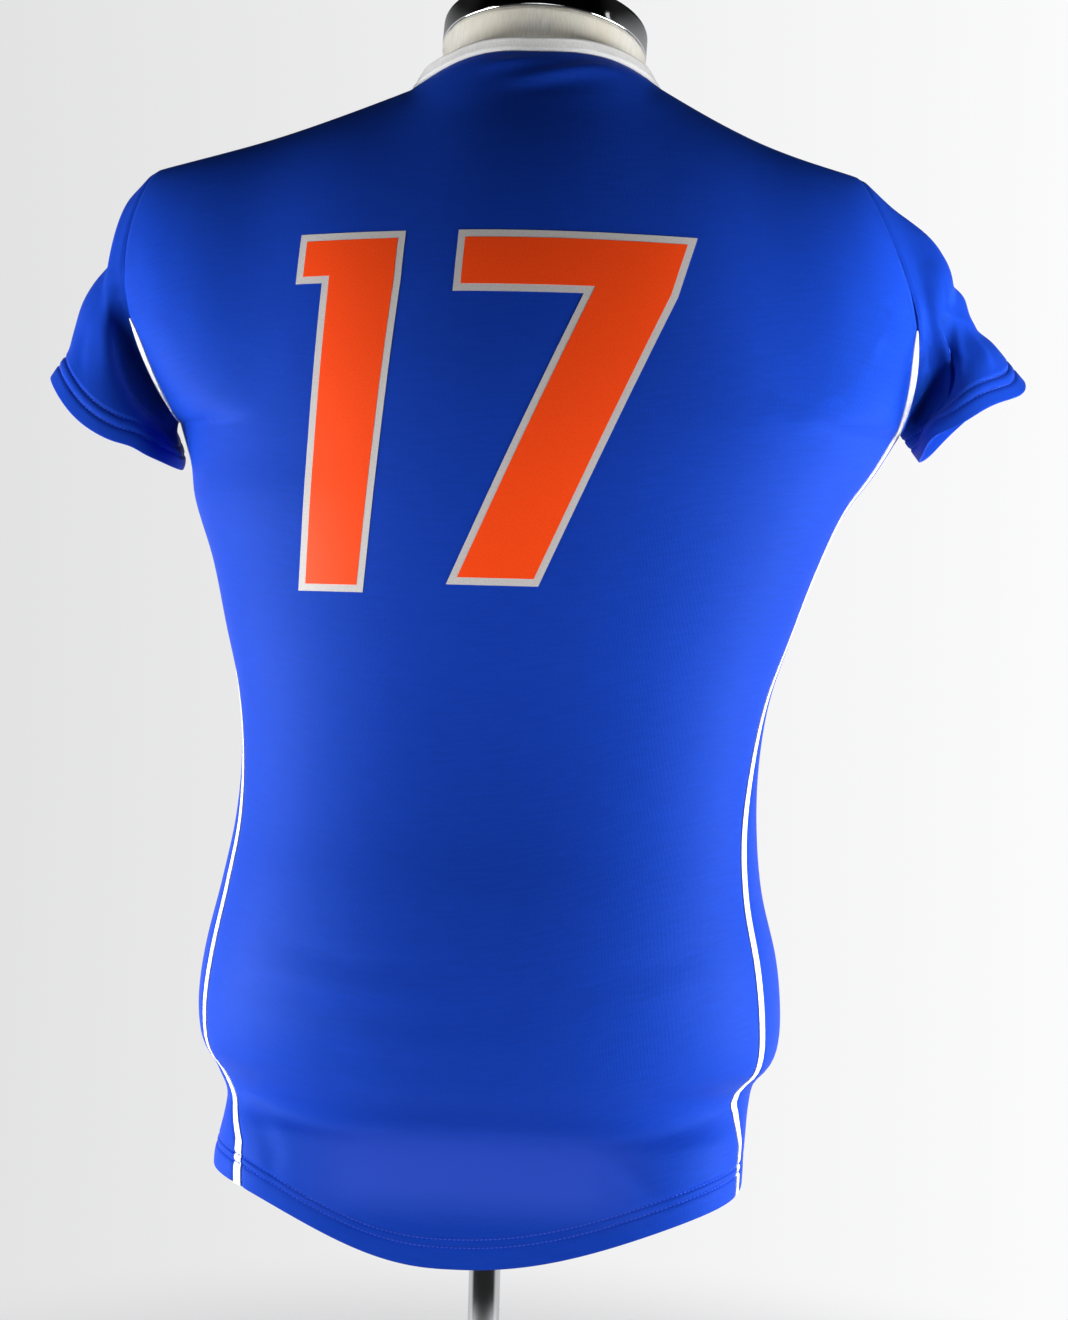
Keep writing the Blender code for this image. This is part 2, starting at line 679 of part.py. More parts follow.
def form_ring(height, inset):
    """Horizontal section of the torso form, as far inside the cloth as its table says."""
    left, right, back, front, roundness = section(height)
    side = from_table(FORM_CLEARANCES, height, "side") + inset
    depth = from_table(FORM_CLEARANCES, height, "depth") + inset
    back_angles = [angle_along(height, True, across) for across in FORM_ACROSS]
    front_angles = [angle_along(height, False, across) for across in reversed(FORM_ACROSS)]
    angles = back_angles + between(back_angles[-1], front_angles[0] + 2 * math.pi)
    angles += [angle + 2 * math.pi for angle in front_angles]
    angles += between(front_angles[-1], back_angles[0])
    return [oval_point(height, angle, left - side, right - side, back - depth, front - depth,
                       max(roundness, FORM_ROUNDNESS)) for angle in angles]


def form_yoke_ring(rise):
    """Row of the form under the yoke: the back, the right arm plate, the front and the left plate."""
    near_top = smoothstep((rise - FORM_CLOSE_START) / (FORM_CLOSE_END - FORM_CLOSE_START))
    halves = []
    for is_back in (True, False):
        row = []
        for across in FORM_ACROSS:
            inward = min(across, 1 - across)
            near_neck = smoothstep((inward - NECK_FRACTION + FORM_NECK_BLEND) / FORM_NECK_BLEND)
            gap = FORM_BACK_GAP + (FORM_SHOULDER_GAP - FORM_BACK_GAP) * near_top
            normal = body_normal(across, 1 + rise, is_back)
            point = yoke_point(across, rise, is_back) - normal * (CLOTH + gap)
            point.z -= FORM_NECK_DROP * near_neck * near_top
            row.append(point)
        halves.append(row)
    back, front = halves[0], halves[1][::-1]
    return back + between(back[-1], front[0]) + front + between(front[-1], back[0])


def neck_ring(centre, radius, tilt_axis, count):
    """Ring of the neck, square to its leaning axis."""
    side = Vector((0, 1, 0)).cross(tilt_axis).normalized()
    deep = tilt_axis.cross(side)
    ring = []
    for i in range(count):
        angle = 2 * math.pi * (i + 0.5) / count
        ring.append(centre + side * radius * math.cos(angle) + deep * radius * math.sin(angle))
    return ring


def neck_axis():
    return (NECK_TOP_CENTRE - NECK_BASE_CENTRE).normalized()


def loft(rings, bottom_cap=True, top_cap=True):
    """Faces between rings of points that all run the same way round."""
    count = len(rings[0])
    points = [p for ring in rings for p in ring]
    faces = []
    for r in range(len(rings) - 1):
        for i in range(count):
            a, b = r * count + i, r * count + (i + 1) % count
            faces.append((a, b, b + count, a + count))
    if bottom_cap:
        faces.append(tuple(reversed(range(count))))
    if top_cap:
        faces.append(tuple(range((len(rings) - 1) * count, len(rings) * count)))
    return points, faces


def make_form_torso():
    """Closed torso: flat underside, sides, yoke that fills the shoulders, and a short neck."""
    rings = [form_ring(FORM_BOTTOM, FORM_BOTTOM_EDGE)]
    for part in (30, 60, 90):
        turn = math.radians(part)
        rings.append(form_ring(FORM_BOTTOM + FORM_BOTTOM_EDGE * (1 - math.cos(turn)),
                               FORM_BOTTOM_EDGE * (1 - math.sin(turn))))
    rings += [form_ring(height, 0.0) for height in FORM_HEIGHTS]
    rises = [rise for rise in YOKE_RISES if rise < FORM_TOP_ROW]
    rings += [form_yoke_ring(rise) for rise in rises]
    points, faces = loft(rings, top_cap=False)

    first = len(points) - len(rings[0])
    last_column = len(FORM_ACROSS) - 1
    low = SHOULDER_COLUMNS - FORM_SKIPPED_COLUMNS
    high = last_column - low

    def back_index(c):
        return first + c

    def front_index(c):
        return first + last_column + 3 + (last_column - c)

    right_plate = [first + last_column + 1, first + last_column + 2]
    left_plate = [first + 2 * last_column + 4, first + 2 * last_column + 5]
    for c in list(range(1, low)) + list(range(high, last_column - 1)):
        faces.append((back_index(c), back_index(c + 1), front_index(c + 1), front_index(c)))
    faces.append((back_index(last_column - 1), back_index(last_column), *right_plate,
                  front_index(last_column), front_index(last_column - 1)))
    faces.append((front_index(1), front_index(0), *left_plate, back_index(0), back_index(1)))

    opening = [back_index(c) for c in range(low, high + 1)]
    opening += [front_index(c) for c in range(high, low - 1, -1)]
    around = len(opening)
    axis = neck_axis()
    length = (NECK_TOP_CENTRE - NECK_BASE_CENTRE).length
    collar_clear = []
    for index in opening:
        inward = NECK_BASE_CENTRE - points[index]
        inward.z = 0
        collar_clear.append(points[index] + inward.normalized() * FORM_COLLAR_CLEARANCE)
    neck_rings = [collar_clear]
    for along, radius in ((0.15, NECK_RADIUS), (1.0, NECK_TOP_RADIUS)):
        neck_rings.append(neck_ring(NECK_BASE_CENTRE + axis * length * along, radius, axis, around))
    previous = opening
    for ring in neck_rings:
        start = len(points)
        points += ring
        current = [start + i for i in range(around)]
        for i in range(around):
            j = (i + 1) % around
            faces.append((previous[i], previous[j], current[j], current[i]))
        previous = current
    faces.append(tuple(previous))
    mesh = mesh_from("form_torso", points, faces)
    add_object("form_torso", mesh, FORM_COVER)


def turned(centre, axis, profile, count):
    """Rings of a turned shape from (radius, height) pairs along an axis."""
    return [neck_ring(centre + axis * high, radius, axis, count) for radius, high in profile]


def make_neck_cap():
    """Low polished cap on the neck."""
    profile = [(NECK_TOP_RADIUS - CAP_EDGE * 0.4, 0.0), (NECK_TOP_RADIUS, CAP_EDGE * 0.4),
               (NECK_TOP_RADIUS, CAP_HEIGHT - CAP_EDGE)]
    for part in (30, 60, 90):
        turn = math.radians(part)
        profile.append((NECK_TOP_RADIUS - CAP_EDGE * (1 - math.cos(turn)),
                        CAP_HEIGHT - CAP_EDGE * (1 - math.sin(turn))))
    axis = neck_axis()
    rings = turned(NECK_TOP_CENTRE + axis * SEAM_GAP, axis, profile, ROUND_SEGMENTS)
    add_object("neck_cap", mesh_from("neck_cap", *loft(rings)), DARK_CHROME)


def make_stand():
    """Chrome pole up to the torso's underside, and the round base plate that it stands on."""
    upright = Vector((0, 0, 1))
    pole_foot = BASE_HEIGHT + BASE_BOSS_HEIGHT + SEAM_GAP
    pole_length = FORM_BOTTOM - SEAM_GAP - pole_foot
    pole = [(POLE_RADIUS, 0.0), (POLE_RADIUS, pole_length)]
    rings = turned(Vector((0, 0, pole_foot)), upright, pole, POLE_SEGMENTS)
    add_object("stand_pole", mesh_from("stand_pole", *loft(rings)), CHROME)

    profile = [(BASE_RADIUS, 0.0), (BASE_RADIUS, BASE_HEIGHT - BASE_EDGE),
               (BASE_RADIUS - BASE_EDGE, BASE_HEIGHT), (BASE_BOSS_RADIUS, BASE_HEIGHT),
               (BASE_BOSS_TOP_RADIUS, BASE_HEIGHT + BASE_BOSS_HEIGHT)]
    rings = turned(Vector((0, 0, 0)), upright, profile, ROUND_SEGMENTS)
    add_object("stand_base", mesh_from("stand_base", *loft(rings)), CHROME)


def main():
    for old in list(bpy.data.objects):
        bpy.data.objects.remove(old, do_unlink=True)
    make_body()
    make_collar()
    make_sleeve("sleeve_left", True, LEFT_SLEEVE, LEFT_FOLDS)
    make_sleeve("sleeve_right", False, RIGHT_SLEEVE, RIGHT_FOLDS)
    one, seven = digit_pieces()
    make_digit("number_one", one)
    make_digit("number_seven", seven)
    make_form_torso()
    make_neck_cap()
    make_stand()


main()
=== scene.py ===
"""Looks of a short-sleeved soccer jersey on a limbless dress form with a pole stand.

Units are metres and +Z is up.  The wearer faces -Y, so the back of the jersey faces +Y and the
wearer's left is at +X.  Every cloth piece is a thin closed wall on the same surfaces as the solids of
the part, with its creases, rolled seams and hems added along the surface's normals.
"""

import math
import random
from bisect import bisect_right
from collections import namedtuple
from functools import lru_cache

import bmesh
import bpy
import numpy as np
from bpy.props import FloatProperty, FloatVectorProperty, IntProperty, PointerProperty
from mathutils import Matrix, Vector


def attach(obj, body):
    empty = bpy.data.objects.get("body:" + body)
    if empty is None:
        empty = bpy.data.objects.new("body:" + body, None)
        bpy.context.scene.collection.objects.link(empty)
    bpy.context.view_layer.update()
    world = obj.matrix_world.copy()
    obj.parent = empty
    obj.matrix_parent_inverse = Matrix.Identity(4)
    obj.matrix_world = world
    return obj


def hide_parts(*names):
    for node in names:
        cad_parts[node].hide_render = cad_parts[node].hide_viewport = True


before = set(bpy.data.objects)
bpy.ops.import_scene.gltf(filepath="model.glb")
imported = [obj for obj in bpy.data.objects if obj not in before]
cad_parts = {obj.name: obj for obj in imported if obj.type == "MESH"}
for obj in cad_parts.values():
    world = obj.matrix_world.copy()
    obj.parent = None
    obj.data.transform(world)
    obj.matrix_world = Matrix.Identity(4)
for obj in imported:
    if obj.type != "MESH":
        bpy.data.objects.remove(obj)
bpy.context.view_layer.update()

bl_info = {
    "name": "Soccer Jersey on Dress Form",
    "version": (1, 0, 0),
    "blender": (4, 5, 0),
    "location": "View3D > Sidebar > Jersey",
    "description": "Builds the cloth, print, stitching, dress form and stand of a worn soccer jersey",
    "category": "Object",
}

# ---- Body of the jersey, one row for each horizontal section ----
# half widths to the wearer's left and right, depths to the back and front of the pole's axis,
# roundness of the section (2 is an ellipse, less is pointed at the sides) and the angle of the
# side stripe from the widest point towards the back, in degrees
Section = namedtuple("Section", "height left right back front roundness stripe_angle")
SECTIONS = tuple(Section(*row) for row in (
    (0.2535, 0.1675, 0.1600, 0.100, 0.093, 3.80, 27.0),
    (0.300, 0.1680, 0.1605, 0.101, 0.094, 3.60, 26.0),
    (0.326, 0.1645, 0.1625, 0.103, 0.097, 3.00, 23.0),
    (0.338, 0.1660, 0.1645, 0.106, 0.100, 2.50, 21.0),
    (0.351, 0.1750, 0.1690, 0.112, 0.104, 2.20, 20.0),
    (0.363, 0.1825, 0.1785, 0.115, 0.105, 2.20, 20.5),
    (0.376, 0.1855, 0.1820, 0.117, 0.106, 2.20, 21.0),
    (0.400, 0.1853, 0.1815, 0.118, 0.106, 2.20, 21.5),
    (0.430, 0.1808, 0.1775, 0.116, 0.105, 2.20, 21.5),
    (0.470, 0.1715, 0.1675, 0.109, 0.102, 2.20, 20.0),
    (0.510, 0.1640, 0.1632, 0.099, 0.099, 2.20, 18.0),
    (0.550, 0.1615, 0.1635, 0.094, 0.098, 2.20, 13.0),
    (0.590, 0.1650, 0.1690, 0.094, 0.101, 2.15, 8.0),
    (0.630, 0.1740, 0.1815, 0.098, 0.108, 2.10, 4.0),
    (0.670, 0.1835, 0.1955, 0.103, 0.119, 2.00, 3.0),
    (0.707, 0.1960, 0.2120, 0.107, 0.128, 1.90, 4.0),
    (0.731, 0.2000, 0.2290, 0.109, 0.131, 1.82, 5.0),
    (0.754, 0.2070, 0.2430, 0.110, 0.132, 1.75, 6.0),
))
HEM = SECTIONS[0].height
ARMPIT = SECTIONS[-1].height
# turn of the two side stripes below the tuck, in degrees round the section
Turn = namedtuple("Turn", "height left right")
STRIPE_TURNS = tuple(Turn(*row) for row in (
    (0.2535, 15.0, 13.0),
    (0.2650, 13.5, 13.0),
    (0.2890, 6.0, 13.0),
    (0.3100, 1.5, 9.0),
    (0.3300, 0.5, 4.0),
    (0.3450, 0.8, 0.3),
    (0.3580, 0.0, 0.0),
))
# lowest point of the hem, reach and rise of its curve, and the height where the rows are level again
HEM_CENTRE = 0.012
HEM_LEFT_REACH = 0.158
HEM_RIGHT_REACH = 0.205
HEM_SIDE_RISE = 0.0430
HEM_RISE_POWER = 1.2
HEM_BLEND_TOP = 0.345
# side stripe and its tip on the back of the armhole
STRIPE_WIDTH = 0.0065
STRIPE_TIP_WIDTH = 0.0006
STRIPE_TIP_RISE = 0.394
STRIPE_TAPER = 5.0

# ---- Yoke: armholes, shoulder seams and neckline ----
Shoulder = namedtuple("Shoulder", "point neck arch armhole_swing armhole_bulge neck_curve")
LEFT_SHOULDER = Shoulder(Vector((0.2260, 0.0, 0.9135)), Vector((0.0640, 0.0, 0.9630)), -0.0035,
                         0.018, 0.0060, 3.3)
RIGHT_SHOULDER = Shoulder(Vector((-0.2150, 0.0, 0.9130)), Vector((-0.0910, 0.0, 0.9655)), -0.006,
                          0.017, 0.0, 2.7)
# swell of the yoke beside the armhole, and the small turn in at its edge
ARMHOLE_DEPTH = 0.042
ARMHOLE_REACH = 0.20
ARMHOLE_SWELL = 0.70
ARMHOLE_TURN = 0.06
ARMHOLE_TURN_REACH = 0.15
SWING_POWER = 0.85
BULGE_POWER = 1.6
# neckline: its middle, how far it reaches back and front, and how much it rises there
MIDDLE_NECK_HEIGHT = 0.9640
NECK_MIDDLE = -0.0110
NECK_BACK_REACH = 0.0630
NECK_FRONT_REACH = 0.1040
NECK_BACK_RISE = 0.0495
NECK_FRONT_RISE = 0.0138
NECK_FRACTION = 0.36
YOKE_SQUARENESS = 2.2
YOKE_TAPER = 1.3
YOKE_SPACING = 1.173

# ---- Sleeves: places round the arm in degrees, from the underarm over the back ----
Sleeve = namedtuple("Sleeve", "cuff_outer cuff_lower cuff_depth start folds cuff_waves creases")
Fold = namedtuple("Fold", "around along around_size along_size height")
Wave = namedtuple("Wave", "around size length")
FOLDS_START = 0.25
SLEEVE_START_TURN = 0.30
SLEEVE_SEAM_ZONE = 0.010
SEAM_GAP_REACH = 0.004

# ---- Creases: a line across and up in metres, its half width and its height, below 0 for a trough ----
Crease = namedtuple("Crease", "width height line")
CREASE_END = 0.05
CREASE_TAPER = 0.8
BACK_CREASES = tuple(Crease(*row) for row in (
    (0.0036, 0.0027, ((-0.004, 0.9540), (-0.028, 0.9600), (-0.050, 0.9650), (-0.066, 0.9665))),
    (0.0030, 0.0020, ((0.014, 0.9640), (-0.004, 0.9675), (-0.020, 0.9690))),
    (0.0045, -0.0010, ((0.000, 0.9480), (-0.030, 0.9530), (-0.055, 0.9570))),
    (0.0045, -0.0011, ((0.120, 0.4420), (0.070, 0.4340), (0.010, 0.4370))),
    (0.0050, 0.0012, ((0.140, 0.4260), (0.080, 0.4190), (0.020, 0.4200))),
    (0.0045, -0.0013, ((0.130, 0.4090), (0.060, 0.4050), (-0.020, 0.4080))),
    (0.0050, 0.0012, ((0.125, 0.3930), (0.050, 0.3880), (-0.040, 0.3900))),
    (0.0045, -0.0011, ((0.090, 0.3760), (0.020, 0.3730), (-0.060, 0.3760))),
    (0.0055, -0.0009, ((-0.060, 0.4300), (-0.100, 0.4350), (-0.135, 0.4450))),
    (0.0050, 0.0009, ((-0.050, 0.4130), (-0.095, 0.4150), (-0.130, 0.4230))),
    (0.0040, 0.0010, ((0.120, 0.3300), (0.080, 0.3260), (0.040, 0.3270))),
    (0.0070, -0.0012, ((-0.060, 0.3300), (-0.090, 0.3180), (-0.110, 0.3000))),
    (0.0070, -0.0012, ((0.135, 0.3350), (0.120, 0.3150), (0.118, 0.2960))),
))
FRONT_CREASES = tuple(Crease(*row) for row in (
    (0.0050, -0.0008, ((-0.120, 0.4300), (-0.060, 0.4230), (0.000, 0.4270))),
    (0.0055, 0.0007, ((-0.110, 0.4120), (-0.040, 0.4070), (0.040, 0.4100))),
    (0.0060, -0.0007, ((-0.080, 0.3940), (0.010, 0.3880), (0.090, 0.3930))),
))

LEFT_SLEEVE_CREASES = tuple(Crease(*row) for row in (
    (0.0105, -0.0095, ((0.2372, 0.8324), (0.2329, 0.8080), (0.2249, 0.7836), (0.2156, 0.7593))),
    (0.0060, 0.0035, ((0.2465, 0.8400), (0.2468, 0.8078), (0.2450, 0.7845))),
    (0.0036, 0.0017, ((0.2344, 0.8496), (0.2340, 0.8300), (0.2310, 0.8100))),
    (0.0050, -0.0015, ((0.2620, 0.8150), (0.2640, 0.7950), (0.2620, 0.7800))),
    (0.0030, 0.0015, ((0.2320, 0.8050), (0.2290, 0.7900), (0.2260, 0.7780))),
))
RIGHT_SLEEVE_CREASES = tuple(Crease(*row) for row in (
    (0.0140, -0.0160, ((-0.2740, 0.8278), (-0.2690, 0.8077), (-0.2607, 0.7844), (-0.2530, 0.7600))),
    (0.0060, 0.0045, ((-0.2500, 0.8297), (-0.2521, 0.8067), (-0.2500, 0.7859), (-0.2428, 0.7655))),
    (0.0028, 0.0024, ((-0.2767, 0.8242), (-0.2780, 0.8035), (-0.2754, 0.7915))),
    (0.0030, 0.0020, ((-0.2845, 0.8160), (-0.2902, 0.8048), (-0.2940, 0.7952))),
    (0.0070, 0.0020, ((-0.2560, 0.8600), (-0.2640, 0.8450), (-0.2690, 0.8330))),
))
LEFT_SLEEVE = Sleeve(
    Vector((0.2905, 0.0, 0.7830)), Vector((0.2070, 0.0, 0.7250)), 0.044, Vector((0.70, 0.0, -0.71)),
    (Fold(180.0, 0.18, 55.0, 0.12, 0.0022), Fold(178.0, 0.41, 50.0, 0.10, -0.0060),
     Fold(175.0, 0.66, 36.0, 0.12, 0.0030), Fold(180.0, 0.86, 40.0, 0.05, -0.0015),
     Fold(262.0, 0.60, 30.0, 0.45, -0.009)),
    (Wave(95.0, 42.0, 0.0090), Wave(60.0, 10.0, -0.0015)), LEFT_SLEEVE_CREASES,
)
RIGHT_SLEEVE = Sleeve(
    Vector((-0.3150, 0.0, 0.7935)), Vector((-0.2560, 0.0, 0.7400)), 0.048, Vector((-0.76, 0.0, -0.65)),
    (Fold(178.0, 0.38, 48.0, 0.16, 0.0070), Fold(180.0, 0.54, 30.0, 0.030, -0.0020),
     Fold(180.0, 0.62, 28.0, 0.045, 0.0024), Fold(180.0, 0.74, 40.0, 0.05, -0.0025),
     Fold(245.0, 0.55, 26.0, 0.40, -0.006)),
    (Wave(140.0, 32.0, 0.0090), Wave(45.0, 24.0, -0.0055), Wave(320.0, 30.0, 0.0020)),
    RIGHT_SLEEVE_CREASES,
)
Side = namedtuple("Side", "name is_left sleeve")
SIDES = (Side("left", True, LEFT_SLEEVE), Side("right", False, RIGHT_SLEEVE))

# ---- Seams, hems and rolled edges ----
PIECE_GAP = 0.00015
SEAM_GROOVE = 0.0009
SEAM_GROOVE_WIDTH = 0.0022
TOP_GROOVE_SHARE = 0.6
STRIPE_GROOVE_SHARE = 0.25
TURNED_FULLNESS = 0.35
EDGE_ROUNDNESS = 0.98
HEM_BAND = 0.0240
TURNED_HEM = HEM_BAND - 0.003
HEM_SWELL = 0.0002
HEM_SWELL_PLACE = 0.007
HEM_SWELL_WIDTH = 0.005
HEM_ROWS = (0.0130, 0.0180)
CUFF_BAND = 0.0200
CUFF_ROWS = (0.0095, 0.0162)
NEEDLE_GROOVE = 0.0011
NEEDLE_GROOVE_WIDTH = 0.0009
# fold under the form: its height and depth in the middle, its rise and depth at the sides
TUCK_HEIGHT = 0.3290
TUCK_SIDE_RISE = 0.0230
TUCK_DEPTH = 0.0130
TUCK_SIDE_DEPTH = 0.0035
TUCK_UPPER_WIDTH = 0.0200
TUCK_LOWER_WIDTH = 0.0110
TUCK_SOFTNESS = 0.25
STITCH_PITCH = 0.0027
STITCH_LENGTH = 0.0021
# rings of one stitch: place along it, share of its width, and height in widths
STITCH_RINGS = ((-0.5, 0.25, -0.10), (-0.32, 0.9, 0.30), (0.0, 1.0, 0.45), (0.32, 0.9, 0.30),
                (0.5, 0.25, -0.10))

# ---- Fineness of the grids ----
LOWER_ROWS = 104
YOKE_ROWS = 52
SHOULDER_COLUMNS = 40
NECK_COLUMNS = 40
# distances of the rows or columns from a seam, from the hem and from a cuff
EDGE_STEPS = (0.0, 0.0004, 0.0010, 0.0018, 0.0028, 0.0045)
HEM_STEPS = (0.0, 0.00008, 0.00025, 0.0005, 0.0010, 0.0030, 0.0060, 0.0095, 0.0113, 0.0121, 0.0126,
             0.0130, 0.0134, 0.0139, 0.0147, 0.0155, 0.0163, 0.0171, 0.0176, 0.0180, 0.0184, 0.0189,
             0.0198, 0.0215)
SEAM_PARTS = (0.0, 0.05, 0.12, 0.22, 0.36, 0.55, 0.78)
CUFF_STEPS = (0.0225, 0.0208, 0.0200, 0.0192, 0.0180, 0.0168, 0.0162, 0.0156, 0.0145, 0.0130, 0.0115,
              0.0102, 0.0095, 0.0088, 0.0075, 0.0055, 0.0035, 0.0018, 0.0009, 0.0005, 0.00025,
              0.00008, 0.0)
SLEEVE_HALF_COLUMNS = 84
SLEEVE_MIDDLE_ROWS = 56
SLEEVE_SAMPLES = 80
TRACK_STEPS = 192
ROW_SAMPLES = 24
STRIPE_SPANS = 8
HEM_LINE_SPANS = 160
SOFTEN_REACH = 0.016
SOFTEN_START = 0.3
SMALL = 1e-4

# ---- Back number: plain block digits, corners across (to the wearer's right) and up ----
NUMBER_LEFT = 0.1245
NUMBER_BOTTOM = 0.6510
DIGIT_HEIGHT = 0.2120
DIGIT_LEAN = -0.060
BAR_HEIGHT = 0.0360
FLAG_WIDTH = 0.0170
FLAG_HEIGHT = 0.0300
SEVEN_FOOT = 0.0060
DIGIT_EDGE = 0.0043
PRINT_LIFT = 0.0003
PRINT_THICKNESS = 0.0002
PRINT_MARGIN = 0.008
FILL_OVERLAP = 0.00005

# ---- Collar ----
COLLAR_HEIGHT = 0.0085
COLLAR_THICKNESS = 0.0030
COLLAR_LEAN = 0.12
COLLAR_LEFT_REACH = 0.040
COLLAR_LEFT_DROP = 0.80
COLLAR_RIGHT_REACH = 0.028
COLLAR_RIGHT_DROP = 0.55
COLLAR_END_LEAN = 0.55
COLLAR_END_THICKNESS = 0.4
COLLAR_SIDES = 28
# lips and dent of its outer face: height, share of the band's height, and width
COLLAR_LIPS = ((0.0007, 0.28, 0.22), (-0.0005, 0.62, 0.10))
# slow waves along it: height, turns in a metre as an angle, and start
COLLAR_WAVES = ((0.00025, 61, 0.0), (0.0002, 143, 1.3))

# ---- Dress form and stand ----
Clearance = namedtuple("Clearance", "height side depth")
FORM_CLEARANCES = tuple(Clearance(*row) for row in (
    (0.348, 0.0110, 0.0090),
    (0.362, 0.0085, 0.0070),
    (0.380, 0.0060, 0.0050),
    (0.400, 0.0042, 0.0040),
    (0.450, 0.0050, 0.0050),
    (0.550, 0.0090, 0.0070),
    (0.630, 0.0140, 0.0070),
    (0.700, 0.0360, 0.0050),
    (0.740, 0.0500, 0.0045),
))
# torso: its lower edge, its distance to the cloth, and where it turns into the neck
FORM_ROUNDNESS = 2.15
FORM_BOTTOM = 0.348
FORM_BOTTOM_EDGE = 0.012
FORM_FIRST_STEP = 0.008
FORM_LOWER_TOP = 0.738
FORM_SHOULDER_GAP = 0.0010
FORM_BACK_GAP = 0.0045
FORM_NECK_DROP = 0.0060
FORM_NECK_BLEND = 0.05
FORM_CLOSE_START = 0.50
FORM_CLOSE_END = 0.95
FORM_COLLAR_CLEARANCE = 0.0080
FORM_TOP_ROW = 0.988
FORM_LOWER_ROWS = 44
FORM_YOKE_ROWS = 30
FORM_SHOULDER_COLUMNS = 16
FORM_NECK_COLUMNS = 40
FORM_SKIPPED_COLUMNS = 4
PLATE_POINTS = 6
NECK_RADIUS = 0.0615
NECK_TOP_RADIUS = 0.0640
NECK_TOP_INSET = 0.0009
NECK_START = 0.15
NECK_RINGS = 25
NECK_PUCKER = 0.0003
NECK_SEED = 5
NECK_BASE_CENTRE = Vector((-0.0158, -0.0075, 0.9700))
NECK_TOP_CENTRE = Vector((-0.0165, -0.0125, 0.9905))
CAP_HEIGHT = 0.0180
POLE_RADIUS = 0.0100
BASE_RADIUS = 0.1500
BASE_HEIGHT = 0.0120
BOSS_RADIUS = 0.0220
BOSS_TOP_RADIUS = 0.0187
BOSS_HEIGHT = 0.0160
TURNED_GAP = 0.0003
POLE_GAP = 0.0002
POLE_EDGE = 0.0004
FOOT_EDGE = 0.0012
TOP_EDGE = 0.0045

# ---- Knit: distances between its columns and its rows of loops, and the top of the painted light where one layer hangs free ----
WALE = 0.00085
COURSE = 0.00065
WAVE_BANDS = 2 * math.pi / 20
# top of the patch of painted light through the single hanging layer
PAINTED_LIGHT_TOP = 0.341

# ---- Fields of the flat size of what shows of a cloth piece ----
# a stripe's width counts its two seam allowances, its area does not
Cut = namedtuple("Cut", "piece width length area held rests_on")

# ---- Floor, lights and camera ----
FLOOR_RADIUS = 2.4
FLOOR_SIDES = 96
# power is a stage setting, share the part of it that a light gets, spread its angle in degrees
Light = namedtuple("Light", "name power share place target size spread")
LIGHT_AIM = (0.0, 0.0, 0.45)
LIGHTS = tuple(Light(*row) for row in (
    ("light_left", "side_power", 1.0, (0.82, 0.30, 0.41), LIGHT_AIM, (0.60, 0.50), 180.0),
    ("light_right", "side_power", 1.1, (-0.86, 0.24, 0.41), LIGHT_AIM, (0.70, 0.50), 180.0),
    ("light_left_armhole", "armhole_power", 0.3, (0.75, 0.55, 0.80), (0.25, 0.04, 0.84), (0.12, 0.12), 20.0),
    ("light_right_armhole", "armhole_power", 1.0, (-0.75, 0.60, 0.80), (-0.28, 0.04, 0.83), (0.12, 0.12),
     20.0),
    ("light_neck", "neck_power", 1.0, (-0.02, 0.19, 1.000), (-0.02, 0.04, 0.985), (0.14, 0.02), 50.0),
    ("light_cap_left", "cap_power", 1.0, (1.70, 1.00, 1.50), NECK_TOP_CENTRE, (0.30, 0.80), 180.0),
    ("light_cap_right", "cap_power", 0.6, (-1.95, 0.30, 1.50), NECK_TOP_CENTRE, (0.16, 0.80), 180.0),
))
# angles in degrees: round the wearer's back to the right, then turns of the camera itself
CAMERA_SIDE_ANGLE = 6.0
CAMERA_YAW = 0.865
CAMERA_PITCH = 1.80
CAMERA_ROLL = 1.5


# ---- Settings ----

def colour_property(name, description, default):
    return FloatVectorProperty(name=name, description=description, default=default, size=3, min=0.0,
                               max=1.0, subtype="COLOR")


class ClothSettings(bpy.types.PropertyGroup):
    """Sizes and colours of the jersey."""
    blue: colour_property("Knit", "Colour of the body and sleeves", (0.007, 0.044, 0.400))
    white: colour_property("Trim", "Colour of the collar band and side stripes", (0.80, 0.80, 0.79))
    number: colour_property("Number", "Fill of the back number", (1.0, 0.070, 0.008))
    number_edge: colour_property("Number Edge", "Outline of the back number", (0.56, 0.54, 0.53))
    thickness: FloatProperty(name="Cloth Thickness", description="Thickness of one layer of knit",
                             default=0.0011, min=0.0004, max=0.0015, precision=4, unit="LENGTH")
    relief: FloatProperty(name="Crease Strength", description="Share of the full depth of every crease",
                          default=1.0, min=0.0, max=1.5, subtype="FACTOR")
    stitch_width: FloatProperty(name="Thread Width", description="Width of the seam thread",
                                default=0.00060, min=0.0002, max=0.0008, precision=5, unit="LENGTH")


class FormSettings(bpy.types.PropertyGroup):
    """Finish of the dress form and its stand."""
    cover: colour_property("Cover", "Colour of the form's fabric cover", (0.82, 0.80, 0.73))
    metal: colour_property("Metal", "Colour of the polished cap, pole and base", (0.66, 0.67, 0.69))
    segments: IntProperty(name="Round Segments", description="Segments round the turned pieces",
                          default=128, min=24, max=256)


